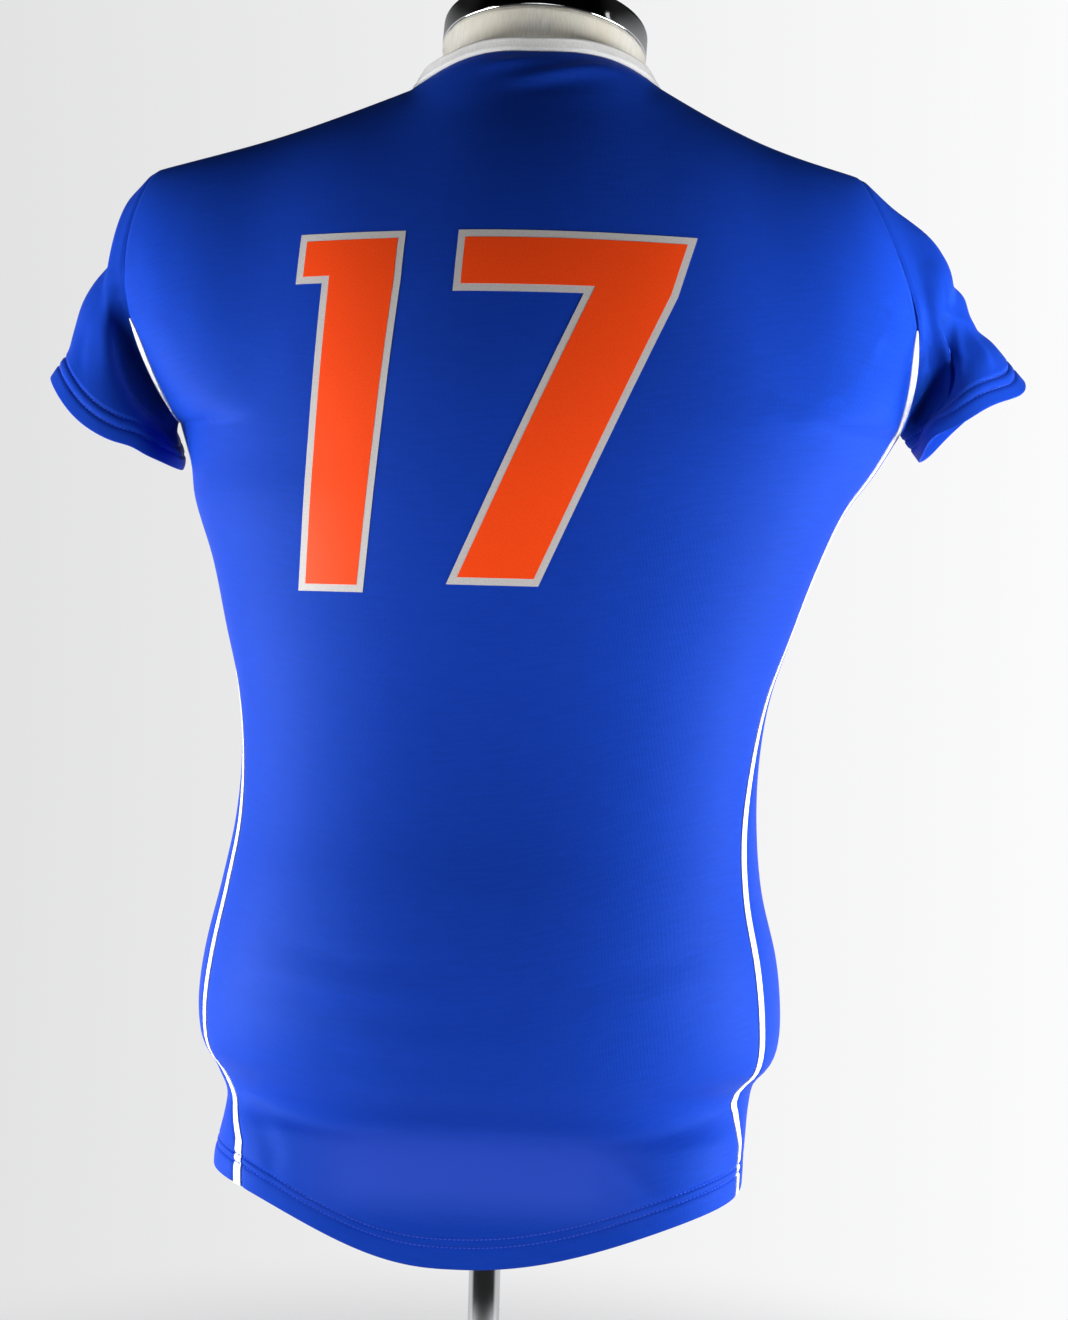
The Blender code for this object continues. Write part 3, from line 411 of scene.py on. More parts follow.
class StageSettings(bpy.types.PropertyGroup):
    """Floor, light and camera."""
    floor: colour_property("Floor", "Colour of the studio floor", (0.80, 0.80, 0.80))
    side_power: FloatProperty(name="Side Lights", description="Power of each large side light",
                              default=14.5, min=0.0, max=200.0, unit="POWER")
    armhole_power: FloatProperty(name="Armhole Lights",
                                 description="Power of the soft light on each armhole",
                                 default=0.14, min=0.0, max=50.0, unit="POWER")
    neck_power: FloatProperty(name="Neck Light", description="Power of the soft light on the neck",
                              default=0.006, min=0.0, max=5.0, precision=4, unit="POWER")
    cap_power: FloatProperty(name="Cap Lights", description="Power of the tall panels mirrored in the cap",
                             default=0.6, min=0.0, max=50.0, unit="POWER")
    backdrop: FloatProperty(name="Backdrop", description="Brightness of the pale backdrop",
                            default=0.86, min=0.0, max=2.0)
    lens: FloatProperty(name="Lens", description="Focal length of the camera in millimetres",
                        default=60.8, min=20.0, max=200.0)
    distance: FloatProperty(name="Camera Distance", description="Camera to the pole's axis",
                            default=1.4, min=0.5, max=5.0, unit="LENGTH")
    eye: FloatProperty(name="Camera Height", description="Height of the camera above the floor",
                       default=0.655, min=0.0, max=3.0, unit="LENGTH")


def cloth():
    return bpy.context.scene.jersey_cloth


def form_settings():
    return bpy.context.scene.jersey_form


# ---- Surfaces of the body ----
# "across" runs from 0 at the wearer's left side to 1 at the right, "up" from 0 at the hem to 1 at
# the armpit and to 2 at the shoulder seams and the neckline

def smoothstep(t):
    t = min(1.0, max(0.0, t))
    return t * t * (3 - 2 * t)


def hermite(first, last, start, end, t):
    """Smooth way from a first to a last value or point, with its slopes at the start and the end."""
    return (first * (2 * t**3 - 3 * t**2 + 1) + start * (t**3 - 2 * t**2 + t)
            + last * (3 * t**2 - 2 * t**3) + end * (t**3 - t**2))


def running_lengths(points):
    """Length along a line of points at each of them."""
    lengths = [0.0]
    for before, after in zip(points, points[1:]):
        lengths.append(lengths[-1] + (after - before).length)
    return lengths


def from_table(table, height, column):
    """Smooth value of a table's column at a height."""
    rows = [(row.height, getattr(row, column)) for row in table]
    if height <= rows[0][0]:
        return rows[0][1]
    if height >= rows[-1][0]:
        return rows[-1][1]
    index = next(i for i in range(len(rows) - 1) if height <= rows[i + 1][0])
    (low, low_value), (high, high_value) = rows[index], rows[index + 1]
    rise = (high_value - low_value) / (high - low)

    def slope_at(i):
        if i in (0, len(rows) - 1):
            return rise
        before, after = rows[i - 1], rows[i + 1]
        return (after[1] - before[1]) / (after[0] - before[0])

    span = high - low
    return hermite(low_value, high_value, slope_at(index) * span, slope_at(index + 1) * span,
                   (height - low) / span)


def oval_point(height, angle, left, right, back, front, roundness):
    """Point of a horizontal section; angle 0 is the wearer's left and 90 degrees the back."""
    across, deep = math.cos(angle), math.sin(angle)
    power = 2.0 / roundness
    half_width = left if across >= 0 else right
    depth = back if deep >= 0 else front
    return Vector((math.copysign(abs(across) ** power * half_width, across),
                   math.copysign(abs(deep) ** power * depth, deep), height))


@lru_cache(maxsize=None)
def section(height):
    """Sizes of the jersey's section at a height."""
    return tuple(from_table(SECTIONS, height, column)
                 for column in ("left", "right", "back", "front", "roundness"))


def ring_point(height, angle):
    return oval_point(height, angle, *section(height))


@lru_cache(maxsize=None)
def stripe_edge_angle(height, left_side):
    """Angle of the stripe's front edge, where the front panel starts."""
    angle = math.radians(from_table(SECTIONS, height, "stripe_angle"))
    centre = angle if left_side else math.pi - angle
    centre += math.radians(from_table(STRIPE_TURNS, height, "left" if left_side else "right"))
    step = math.radians(1.0)
    speed = (ring_point(height, centre + step) - ring_point(height, centre - step)).length / (2 * step)
    half = STRIPE_WIDTH / 2 / speed
    return centre - half if left_side else centre + half


def warped(angle, power):
    """Angle with its cosine and sine raised to a power, between a section's angles and true bearings."""
    across, deep = math.cos(angle), math.sin(angle)
    turned = math.atan2(math.copysign(abs(deep) ** power, deep), math.copysign(abs(across) ** power, across))
    return turned + 2 * math.pi * round((angle - turned) / (2 * math.pi))


@lru_cache(maxsize=None)
def half_track(height, is_back):
    """Bearings and lengths along the back or front half of a section, from left to right."""
    power = section(height)[4] / 2
    start, end = stripe_edge_angle(height, True), stripe_edge_angle(height, False)
    if not is_back:
        end -= 2 * math.pi
    start, end = warped(start, 1 / power), warped(end, 1 / power)
    bearings = [start + (end - start) * i / TRACK_STEPS for i in range(TRACK_STEPS + 1)]
    return bearings, running_lengths([ring_point(height, warped(bearing, power)) for bearing in bearings])


def angle_along(height, is_back, fraction):
    """Angle at a fraction of the half section's length."""
    bearings, lengths = half_track(height, is_back)
    target = fraction * lengths[-1]
    index = min(max(bisect_right(lengths, target) - 1, 0), len(lengths) - 2)
    part = (target - lengths[index]) / (lengths[index + 1] - lengths[index])
    return warped(bearings[index] + (bearings[index + 1] - bearings[index]) * part, section(height)[4] / 2)


def lower_point(across, up, is_back):
    """Point below the armpits; the rows of the hem band keep their distance to the curved hem."""
    height = HEM + (ARMPIT - HEM) * up
    angle = angle_along(height, is_back, across)
    span = HEM_BLEND_TOP - HEM
    above = height - HEM
    if above < span:
        aside = ring_point(height, angle).x
        reach = HEM_LEFT_REACH if aside > HEM_CENTRE else HEM_RIGHT_REACH
        side_rise = HEM_SIDE_RISE * smoothstep(abs(aside - HEM_CENTRE) / reach) ** HEM_RISE_POWER
        if above > HEM_BAND:
            above = HEM_BAND + (above - HEM_BAND) * (span - side_rise - HEM_BAND) / (span - HEM_BAND)
        height = HEM + side_rise + above
    return ring_point(height, angle)


def quarter_round(part):
    """Height of a squarish quarter oval at a part of its width, both from 0 to 1."""
    return max(0.0, 1 - abs(part) ** YOKE_SQUARENESS) ** (1 / YOKE_SQUARENESS)


@lru_cache(maxsize=None)
def armpit_point(across, is_back):
    return ring_point(ARMPIT, angle_along(ARMPIT, is_back, across))


@lru_cache(maxsize=None)
def top_point(across, is_back):
    """Top point of a column, on the shoulder seam or the neckline, and its ridge height."""
    shoulder = LEFT_SHOULDER if across <= 0.5 else RIGHT_SHOULDER
    inward = min(across, 1 - across)
    if inward <= NECK_FRACTION:
        part = inward / NECK_FRACTION
        point = shoulder.point.lerp(shoulder.neck, part)
        point.z += shoulder.arch * math.sin(math.pi * part)
        return point, point.z
    turn = math.pi / 2 * (inward - NECK_FRACTION) / (0.5 - NECK_FRACTION)
    half_width = shoulder.neck.x - NECK_MIDDLE
    seam = shoulder.neck - shoulder.point
    seam_rise = seam.z / abs(seam.x) * abs(half_width)
    inside = 1 - math.cos(turn)
    neck_height = shoulder.neck.z + (MIDDLE_NECK_HEIGHT - shoulder.neck.z) * smoothstep(inside)
    ridge = (neck_height + seam_rise * (inside**3 - 2 * inside**2 + inside)
             + (NECK_BACK_RISE if is_back else NECK_FRONT_RISE) * math.sin(turn) ** shoulder.neck_curve)
    deep = (NECK_BACK_REACH if is_back else -NECK_FRONT_REACH) * math.sin(turn)
    high = ARMPIT + (ridge - ARMPIT) * quarter_round(deep / armpit_point(across, is_back).y)
    return Vector((NECK_MIDDLE + half_width * math.cos(turn), deep, high)), ridge


def yoke_point(across, rise, is_back):
    """Point above the armpits; rise is 0 at the armpit and 1 at the shoulder seam."""
    base = armpit_point(across, is_back)
    top, ridge = top_point(across, is_back)
    height = base.z + (top.z - base.z) * rise
    point = Vector((base.x + (top.x - base.x) * rise**YOKE_TAPER,
                    base.y * quarter_round((height - base.z) / (ridge - base.z)), height))
    inward = min(1.0, min(across, 1 - across) / ARMHOLE_REACH)
    shoulder = LEFT_SHOULDER if across <= 0.5 else RIGHT_SHOULDER
    swing = (shoulder.armhole_swing * math.sin(math.pi * rise**SWING_POWER)
             + shoulder.armhole_bulge * math.sin(math.pi * rise**BULGE_POWER))
    point.x += (1 - inward) ** 2 * math.copysign(swing, shoulder.point.x)
    swell = (ARMHOLE_SWELL * (1 - inward**2) ** 2
             - ARMHOLE_TURN * math.exp(-(inward / ARMHOLE_TURN_REACH) ** 2))
    bulge = swell * ARMHOLE_DEPTH * 2 * math.sqrt(max(0.0, rise * (1 - rise)))
    point.y += bulge if is_back else -bulge
    return point


def body_point(across, up, is_back):
    if up <= 1:
        return lower_point(across, up, is_back)
    return yoke_point(across, up - 1, is_back)


def body_normal(across, up, is_back):
    """Outward normal of the body, from small steps that stay on its surface."""
    left, right = max(0.0, across - SMALL), min(1.0, across + SMALL)
    low, high = max(0.0, up - SMALL), min(2.0, up + SMALL)
    width = body_point(right, up, is_back) - body_point(left, up, is_back)
    rise = body_point(across, high, is_back) - body_point(across, low, is_back)
    normal = rise.cross(width).normalized()
    return -normal if is_back else normal


@lru_cache(maxsize=None)
def row_length(up, is_back):
    """Length of a row of the body, for turning a width in metres into a fraction across."""
    return running_lengths([body_point(i / ROW_SAMPLES, up, is_back) for i in range(ROW_SAMPLES + 1)])[-1]


def yoke_rises(rows):
    """Rises from the armpit to the shoulder seam, closest together where the cloth turns over it."""
    return [math.sin(math.pi / 2 * i / rows) ** YOKE_SPACING for i in range(rows + 1)]


def mirrored(fractions):
    """Fractions from the left side to the middle, carried on to the right side."""
    return tuple(fractions) + tuple(1 - f for f in reversed(fractions) if f < 0.5)


def across_columns(shoulder_columns, neck_columns):
    return mirrored([NECK_FRACTION * i / shoulder_columns for i in range(shoulder_columns)]
                    + [NECK_FRACTION + (0.5 - NECK_FRACTION) * 2 * i / neck_columns
                       for i in range(neck_columns // 2 + 1)])


def panel_ups():
    """Rows of a panel: close together in the hem band, even above it, and closer at the shoulder."""
    length = ARMPIT - HEM
    ups = [step / length for step in HEM_STEPS]
    ups += [(HEM_BAND + (length - HEM_BAND) * i / LOWER_ROWS) / length for i in range(LOWER_ROWS + 1)]
    return ups + [1 + rise for rise in yoke_rises(YOKE_ROWS)[1:]]


def stripe_width(up):
    """Width of the side stripe, which narrows to a tip on the back of the armhole."""
    if up <= 1:
        return STRIPE_WIDTH
    narrowed = min(1.0, (up - 1) / STRIPE_TIP_RISE) ** STRIPE_TAPER
    return STRIPE_WIDTH + (STRIPE_TIP_WIDTH - STRIPE_WIDTH) * narrowed


def stripe_seam(up):
    """Fraction across where the stripe meets the back panel."""
    if up > 1 + STRIPE_TIP_RISE:
        return 0.0
    return stripe_width(up) / row_length(up, True)


# ---- Creases and relief ----

def crease_relief(points, creases):
    """Height of the creases at an array of points, by distance in the plane across and up."""
    flat = points[..., (0, 2)]
    relief = np.zeros(points.shape[:-1])
    for crease in creases:
        line = np.array(crease.line)
        steps = np.linalg.norm(np.diff(line, axis=0), axis=1)
        total = steps.sum()
        nearest = np.full(relief.shape, 1e9)
        along = np.zeros(relief.shape)
        start_length = 0.0
        for start, end, length in zip(line, line[1:], steps):
            share = np.clip(((flat - start) @ (end - start)) / length**2, 0, 1)
            foot = start + share[..., None] * (end - start)
            distance = np.linalg.norm(flat - foot, axis=-1)
            closer = distance < nearest
            nearest = np.where(closer, distance, nearest)
            along = np.where(closer, (start_length + share * length) / total, along)
            start_length += length
        inner = np.clip(along * (1 - 2 * CREASE_END) + CREASE_END, 0, 1)
        taper = np.sin(np.pi * inner) ** CREASE_TAPER
        relief += crease.height * taper * np.exp(-(nearest / crease.width) ** 2)
    return relief * cloth().relief


def groove(distance, depth, width):
    return -depth * np.exp(-(distance / width) ** 2)


def edge_roll(distance, thickness):
    """How far a free edge's two faces draw together, for a half round edge."""
    half = thickness / 2
    near = np.clip(1 - distance / half, 0, 1)
    return half * (1 - np.sqrt(np.clip(1 - near**2, 0, 1))) * EDGE_ROUNDNESS


def grid_normals(points, outward):
    """Unit normals of a grid, turned to the side of the outward points."""
    normals = np.cross(np.gradient(points, axis=0), np.gradient(points, axis=1))
    normals /= np.maximum(np.linalg.norm(normals, axis=-1, keepdims=True), 1e-12)
    if (normals * outward).sum() < 0:
        normals = -normals
    return normals


def lengths_along(points, axis):
    """Running length of each row or column of a grid."""
    steps = np.linalg.norm(np.diff(points, axis=axis), axis=-1)
    zero = np.zeros_like(steps[:, :1] if axis == 1 else steps[:1])
    return np.concatenate([zero, np.cumsum(steps, axis=axis)], axis=axis)


# ---- Meshes ----

def mesh_object(name, points, faces, material, uvs=None, smooth_angle=45):
    """Mesh object with smooth faces and, where given, each point's place on the flat cut."""
    mesh = bpy.data.meshes.new(name)
    mesh.from_pydata([tuple(p) for p in points], [], faces)
    mesh.update()
    if uvs is not None:
        layer = mesh.uv_layers.new(name="flat_cut")
        corners = np.empty(len(mesh.loops), dtype=np.int32)
        mesh.loops.foreach_get("vertex_index", corners)
        layer.uv.foreach_set("vector", np.asarray(uvs, dtype=np.float32)[corners].ravel())
    mesh.materials.append(material)
    mesh.shade_smooth()
    mesh.set_sharp_from_angle(angle=math.radians(smooth_angle))
    made = bpy.data.objects.new(name, mesh)
    bpy.context.collection.objects.link(made)
    return made


def wall_faces(rows, columns, closed_across=False):
    """Faces of a closed wall between an outer and an inner grid of points."""
    offset = rows * columns
    spans = columns if closed_across else columns - 1
    faces = []
    for r in range(rows - 1):
        for c in range(spans):
            a, b = r * columns + c, r * columns + (c + 1) % columns
            up_a, up_b = a + columns, b + columns
            faces.append((a, up_a, up_b, b))
            faces.append((a + offset, b + offset, up_b + offset, up_a + offset))
    for c in range(spans):
        a, b = c, (c + 1) % columns
        faces.append((a, b, b + offset, a + offset))
        a, b = a + (rows - 1) * columns, b + (rows - 1) * columns
        faces.append((a, a + offset, b + offset, b))
    if not closed_across:
        for r in range(rows - 1):
            a, up = r * columns, (r + 1) * columns
            faces.append((a, a + offset, up + offset, up))
            a, up = a + columns - 1, up + columns - 1
            faces.append((a, up, up + offset, a + offset))
    return faces


def wall_object(name, outer, inner, uv, material, closed_across=False, flip=False):
    """Closed wall from two grids of points; flip turns its faces over."""
    rows, columns = outer.shape[:2]
    points = np.concatenate([outer.reshape(-1, 3), inner.reshape(-1, 3)])
    uvs = np.concatenate([uv.reshape(-1, 2)] * 2)
    faces = wall_faces(rows, columns, closed_across)
    if flip:
        faces = [face[::-1] for face in faces]
    return mesh_object(name, points, faces, material, uvs)


def finish_piece(piece, slot, *nodes):
    """Let a piece ride with the part, in place of the nodes it stands for."""
    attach(piece, "root")
    if nodes:
        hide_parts(*nodes)


# ---- Materials ----

def plain_material(name):
    """New material, with its node tree and its shader."""
    made = bpy.data.materials.new(name)
    made.use_nodes = True
    return made, made.node_tree, made.node_tree.nodes["Principled BSDF"]


def set_inputs(tree, node, **inputs):
    """Link or set a node's inputs; an underscore in an input's name is a space."""
    for key, value in inputs.items():
        socket = node.inputs[key.replace("_", " ")]
        if isinstance(value, bpy.types.NodeSocket):
            tree.links.new(value, socket)
        else:
            socket.default_value = value


def add_node(tree, kind, settings=None, **inputs):
    """New node with its settings and inputs."""
    node = tree.nodes.new("ShaderNode" + kind)
    for key, value in (settings or {}).items():
        setattr(node, key, value)
    set_inputs(tree, node, **inputs)
    return node


def noise(tree, place, scale, detail, roughness=0.5):
    made = add_node(tree, "TexNoise", Vector=place, Scale=scale, Detail=detail, Roughness=roughness)
    return made.outputs["Fac"]


def stretched(tree, place, factors):
    return add_node(tree, "Mapping", Vector=place, Scale=factors).outputs["Vector"]


def object_place(tree):
    return add_node(tree, "TexCoord").outputs["Object"]


def map_range(tree, source, low, high, start=0.0, end=1.0, kind="LINEAR"):
    """Values from low to high while a source goes from start to end."""
    made = add_node(tree, "MapRange", {"interpolation_type": kind}, Value=source,
                    From_Min=start, From_Max=end, To_Min=low, To_Max=high)
    return made.outputs["Result"]


def soft_range(tree, source, start, end, low=0.0, high=1.0):
    return map_range(tree, source, low, high, start, end, "SMOOTHSTEP")


def product(tree, first, second):
    """Product of two sockets."""
    both = add_node(tree, "Math", {"operation": "MULTIPLY"})
    tree.links.new(first, both.inputs[0])
    tree.links.new(second, both.inputs[1])
    return both.outputs["Value"]


def ramp(tree, source, *stops):
    """Grey ramp through two stops, each a position and a value."""
    made = add_node(tree, "ValToRGB", Fac=source)
    for element, (position, value) in zip(made.color_ramp.elements, stops):
        element.position = position
        element.color = (value, value, value, 1)
    return made.outputs["Color"]


def mix_colours(tree, factor, first, second):
    """Mix of two colours, each a socket or a plain colour."""
    mix = add_node(tree, "Mix", {"data_type": "RGBA"}, Factor=factor)
    sockets = {socket.name: socket for socket in mix.inputs if socket.type == "RGBA"}
    for place, colour in (("A", first), ("B", second)):
        if isinstance(colour, bpy.types.NodeSocket):
            tree.links.new(colour, sockets[place])
        else:
            sockets[place].default_value = (*colour[:3], 1)
    return next(socket for socket in mix.outputs if socket.type == "RGBA")


def shade_of(colour, factor):
    return tuple(min(1.0, channel * factor) for channel in colour[:3])


def between_shades(tree, factor, colour, dark, light):
    return mix_colours(tree, factor, shade_of(colour, dark), shade_of(colour, light))


def add_bump(tree, shader, height, strength, distance):
    bump = add_node(tree, "Bump", Height=height, Strength=strength, Distance=distance)
    set_inputs(tree, shader, Normal=bump.outputs["Normal"])


def knit_height(tree):
    """Height of the knit's loops, and the place on the flat cut."""
    place = add_node(tree, "UVMap", {"uv_map": "flat_cut"}).outputs["UV"]
    waves = [add_node(tree, "TexWave", {"bands_direction": direction}, Vector=place,
                      Scale=WAVE_BANDS / pitch, Distortion=1.5, Detail=1.0, Detail_Scale=0.6)
             for direction, pitch in (("X", WALE), ("Y", COURSE))]
    return product(tree, waves[0].outputs["Fac"], waves[1].outputs["Fac"]), place


def knit_material(name, colour, roughness, sheen, gloss, thin_below=None):
    """Satin or matt knit: fine loops, speckled and streaky yarn, slow changes of tone, and where asked a
    paler patch of painted light coming through the hanging layer.
    """
    made, tree, shader = plain_material(name)
    height, place = knit_height(tree)
    speckle = noise(tree, place, 1100.0, 2.0, 0.6)
    streaks = noise(tree, stretched(tree, place, (0.12, 1.0, 1.0)), 420.0, 3.0, 0.6)
    cloudy = noise(tree, place, 9.0, 3.0)
    tone = between_shades(tree, ramp(tree, speckle, (0.3, 0), (0.7, 1)), colour, 0.88, 1.12)
    tone = mix_colours(tree, ramp(tree, streaks, (0.35, 0), (0.65, 0.45)), tone, shade_of(colour, 0.80))
    tone = mix_colours(tree, ramp(tree, cloudy, (0.35, 0), (0.65, 0.10)), tone, shade_of(colour, 1.25))
    # painted light: a paler patch where light would come through the single hanging layer
    if thin_below is not None:
        tone = painted_backlight_patch(tree, tone, colour, thin_below)
    set_inputs(tree, shader, Base_Color=tone, Specular_IOR_Level=0.12, Specular_Tint=(*gloss, 1),
               Roughness=map_range(tree, cloudy, roughness - 0.04, roughness + 0.06),
               Sheen_Weight=sheen, Sheen_Roughness=0.35, Sheen_Tint=(*gloss, 1))
    add_bump(tree, shader, height, 0.35, 0.0002)
    return made


def painted_backlight_patch(tree, tone, colour, top):
    """Painted light: a paler patch painted where a single layer hangs free below the form, standing in for
    the light that comes through it.
    """
    parts = add_node(tree, "SeparateXYZ", Vector=object_place(tree)).outputs
    aside = add_node(tree, "Math", {"operation": "ABSOLUTE"}, Value=parts["X"]).outputs["Value"]
    patch = soft_range(tree, parts["Z"], top, top - 0.022)
    patch = product(tree, patch, soft_range(tree, parts["Z"], top - 0.066, top - 0.038))
    patch = product(tree, patch, soft_range(tree, aside, 0.125, 0.055))
    # painted light: a paler blue standing in for light that comes through the cloth
    pale = tuple(channel * 0.75 + more for channel, more in zip(colour, (0.020, 0.036, 0.20)))
    return mix_colours(tree, patch, tone, pale)


def print_material(name, colour, roughness):
    """Screen print that sinks a little into the knit below it."""
    made, tree, shader = plain_material(name)
    height, place = knit_height(tree)
    grain = ramp(tree, noise(tree, place, 900.0, 2.0), (0.35, 0), (0.65, 1))
    patchy = noise(tree, place, 25.0, 3.0)
    set_inputs(tree, shader, Base_Color=between_shades(tree, grain, colour, 0.93, 1.05),
               Roughness=map_range(tree, patchy, roughness - 0.05, roughness + 0.08),
               Specular_IOR_Level=0.1)
    add_bump(tree, shader, height, 0.2, 0.00015)
    return made


def thread_material(name, colour):
    """Twisted seam thread."""
    made, tree, shader = plain_material(name)
    fibres = noise(tree, object_place(tree), 2500.0, 2.0)
    set_inputs(tree, shader, Base_Color=between_shades(tree, fibres, colour, 0.8, 1.3), Roughness=0.5)
    add_bump(tree, shader, fibres, 0.4, 0.0001)
    return made


def cover_material(name, colour):
    """Napped cover: upright fibres, a little yellowed in patches."""
    made, tree, shader = plain_material(name)
    place = object_place(tree)
    fibres = noise(tree, stretched(tree, place, (1.0, 1.0, 0.12)), 900.0, 4.0, 0.65)
    patches = noise(tree, place, 28.0, 3.0)
    nap = between_shades(tree, ramp(tree, fibres, (0.3, 0), (0.62, 1)), colour, 0.84, 1.06)
    aged = (colour[0] * 0.98, colour[1] * 0.94, colour[2] * 0.84)
    tone = mix_colours(tree, ramp(tree, patches, (0.4, 0), (0.75, 0.8)), nap, aged)
    set_inputs(tree, shader, Base_Color=tone, Roughness=0.9, Specular_IOR_Level=0.2, Sheen_Weight=0.2)
    add_bump(tree, shader, fibres, 0.5, 0.0006)
    return made


def metal_material(name, colour, roughness):
    """Polished metal with faint wiping marks."""
    made, tree, shader = plain_material(name)
    place = object_place(tree)
    smears = noise(tree, place, 45.0, 4.0, 0.6)
    set_inputs(tree, shader, Base_Color=(*colour, 1), Metallic=1.0,
               Roughness=map_range(tree, smears, roughness * 0.6, roughness * 1.6))
    add_bump(tree, shader, noise(tree, place, 700.0, 2.0), 0.03, 0.0002)
    return made


def found_material(name, make, *args, **options):
    return bpy.data.materials.get(name) or make(name, *args, **options)


def blue_knit():
    # satin blue with a patch of painted light below the form
    return found_material("satin_blue_knit", knit_material, tuple(cloth().blue), 0.50, 0.05,
                          (0.05, 0.28, 1.0), thin_below=PAINTED_LIGHT_TOP)


def white_knit():
    return found_material("matt_white_knit", knit_material, tuple(cloth().white), 0.62, 0.1, (1.0, 1.0, 1.0))


def chrome():
    return found_material("polished_chrome", metal_material, tuple(form_settings().metal), 0.07)


# ---- Body panels and stripes ----

def soften_rows(points, ups):
    """Even out each row of the yoke over a short distance; its ends and the top edge stay put."""
    width, height = lengths_along(points, 1), lengths_along(points, 0)
    softened = points.copy()
    for r, up in enumerate(ups):
        if up <= 1:
            continue
        run = width[r]
        to_edge = np.minimum(np.minimum(run, run[-1] - run), height[-1] - height[r])
        reach = np.minimum(SOFTEN_REACH * smoothstep((up - 1) / SOFTEN_START), to_edge / 2.5) + 1e-6
        weights = np.exp(-0.5 * ((run[:, None] - run[None]) / reach[:, None]) ** 2) * np.gradient(run)[None]
        softened[r] = weights @ points[r] / weights.sum(axis=1, keepdims=True)
    return softened


def body_grid(acrosses, ups, is_back):
    """Points, normals and relief of part of the body; acrosses has a row of places for each up."""
    points = np.array([[body_point(a, up, is_back) for a in row] for row, up in zip(acrosses, ups)])
    if ups[-1] >= 2:
        points = soften_rows(points, ups)
    normals = grid_normals(points, np.array([0.0, 1.0 if is_back else -1.0, 0.0]))
    relief = crease_relief(points, BACK_CREASES if is_back else FRONT_CREASES) + tuck_relief(points)
    return points, normals, relief


def tuck_relief(points):
    """Fold all round where the cloth turns in under the form, deepest along a crisp line."""
    aside = np.abs(points[..., 0]) / SECTIONS[0].left
    below = TUCK_HEIGHT + TUCK_SIDE_RISE * aside**3 - points[..., 2]
    width = np.where(below > 0, TUCK_LOWER_WIDTH, TUCK_UPPER_WIDTH)
    depth = TUCK_DEPTH + (TUCK_SIDE_DEPTH - TUCK_DEPTH) * np.clip(aside, 0, 1) ** 2
    return -depth * np.exp(TUCK_SOFTNESS - np.sqrt(TUCK_SOFTNESS**2 + (below / width) ** 2))


def with_needle_rows(relief, distance, rows):
    """Relief with the grooves that the needle rows press in, by distance from the cloth's edge."""
    for row in rows:
        relief = relief + groove(distance - row, NEEDLE_GROOVE, NEEDLE_GROOVE_WIDTH)
    return relief


def hem_relief(distance):
    """Soft swell and needle grooves of the turned hem, by distance from its edge."""
    swell = HEM_SWELL * np.exp(-((distance - HEM_SWELL_PLACE) / HEM_SWELL_WIDTH) ** 2)
    return with_needle_rows(swell, distance, HEM_ROWS)


def panel_columns(up, is_back):
    """Fractions across of a panel's row, closer together at its two side seams."""
    seam = stripe_seam(up) if is_back else 0.0
    length = row_length(up, is_back)
    near = [seam + (PIECE_GAP + step) / length for step in EDGE_STEPS]
    plain = across_columns(SHOULDER_COLUMNS, NECK_COLUMNS)
    start, limit = near[-1], plain[2]
    middle = [start + (f - limit) * (0.5 - start) / (0.5 - limit) for f in plain if limit < f < 0.4999]
    half = near + middle
    return half + [0.5] + [1 - f for f in reversed(half)]


def faces_of_wall(points, normals, relief, to_edge, band):
    """Outer and inner points of a knit wall whose turned band is thicker and whose free edge is rolled."""
    thin = cloth().thickness
    thickness = thin * (1 + TURNED_FULLNESS * (to_edge < band))
    rolled = edge_roll(to_edge, thin)
    return (points + normals * (relief - rolled)[..., None],
            points + normals * (relief - thickness + rolled)[..., None])


def body_piece(node, is_back, ups, rows, material, slot, edge_groove):
    """Wall over part of the body, with rolled seams at its sides; gives back its outer points."""
    points, normals, relief = body_grid(rows, ups, is_back)
    width, height = lengths_along(points, 1), lengths_along(points, 0)
    side = np.minimum(width, width[:, -1:] - width)
    relief = relief + groove(side, edge_groove, SEAM_GROOVE_WIDTH)
    if ups[-1] >= 2:
        relief = relief + groove(height[-1:] - height, SEAM_GROOVE * TOP_GROOVE_SHARE, SEAM_GROOVE_WIDTH)
        ridge = np.abs(points[-1, :, 1]) < SMALL
        points[-1, ridge, 1] += PIECE_GAP / 2 if is_back else -PIECE_GAP / 2
    outer, inner = faces_of_wall(points, normals, relief + hem_relief(height), height, TURNED_HEM)
    uv = np.stack([width - width[:, -1:] / 2, height], axis=-1)
    finish_piece(wall_object(node + "_cloth", outer, inner, uv, material, flip=is_back), slot, node)
    return outer


def make_panels():
    """Back and front panels; gives back the outer points of the back."""
    ups = panel_ups()
    outer = [body_piece(node, is_back, ups, [panel_columns(up, is_back) for up in ups], blue_knit(),
                        "blue_knit", SEAM_GROOVE)
             for node, is_back in (("back_panel", True), ("front_panel", False))]
    return outer[0]


def make_stripes():
    """Narrow white stripes let in along the side seams."""
    ups = [up for up in panel_ups() if up < 1 + STRIPE_TIP_RISE] + [1 + STRIPE_TIP_RISE]
    for side in SIDES:
        rows = []
        for up in ups:
            gap = PIECE_GAP / row_length(up, True)
            width = stripe_seam(up) - gap
            fractions = [gap * 0.5 + width * i / STRIPE_SPANS for i in range(STRIPE_SPANS + 1)]
            rows.append(fractions if side.is_left else [1 - f for f in reversed(fractions)])
        body_piece(f"stripe_{side.name}", True, ups, rows, white_knit(), "white_knit",
                   SEAM_GROOVE * STRIPE_GROOVE_SHARE)


# ---- Sleeves ----

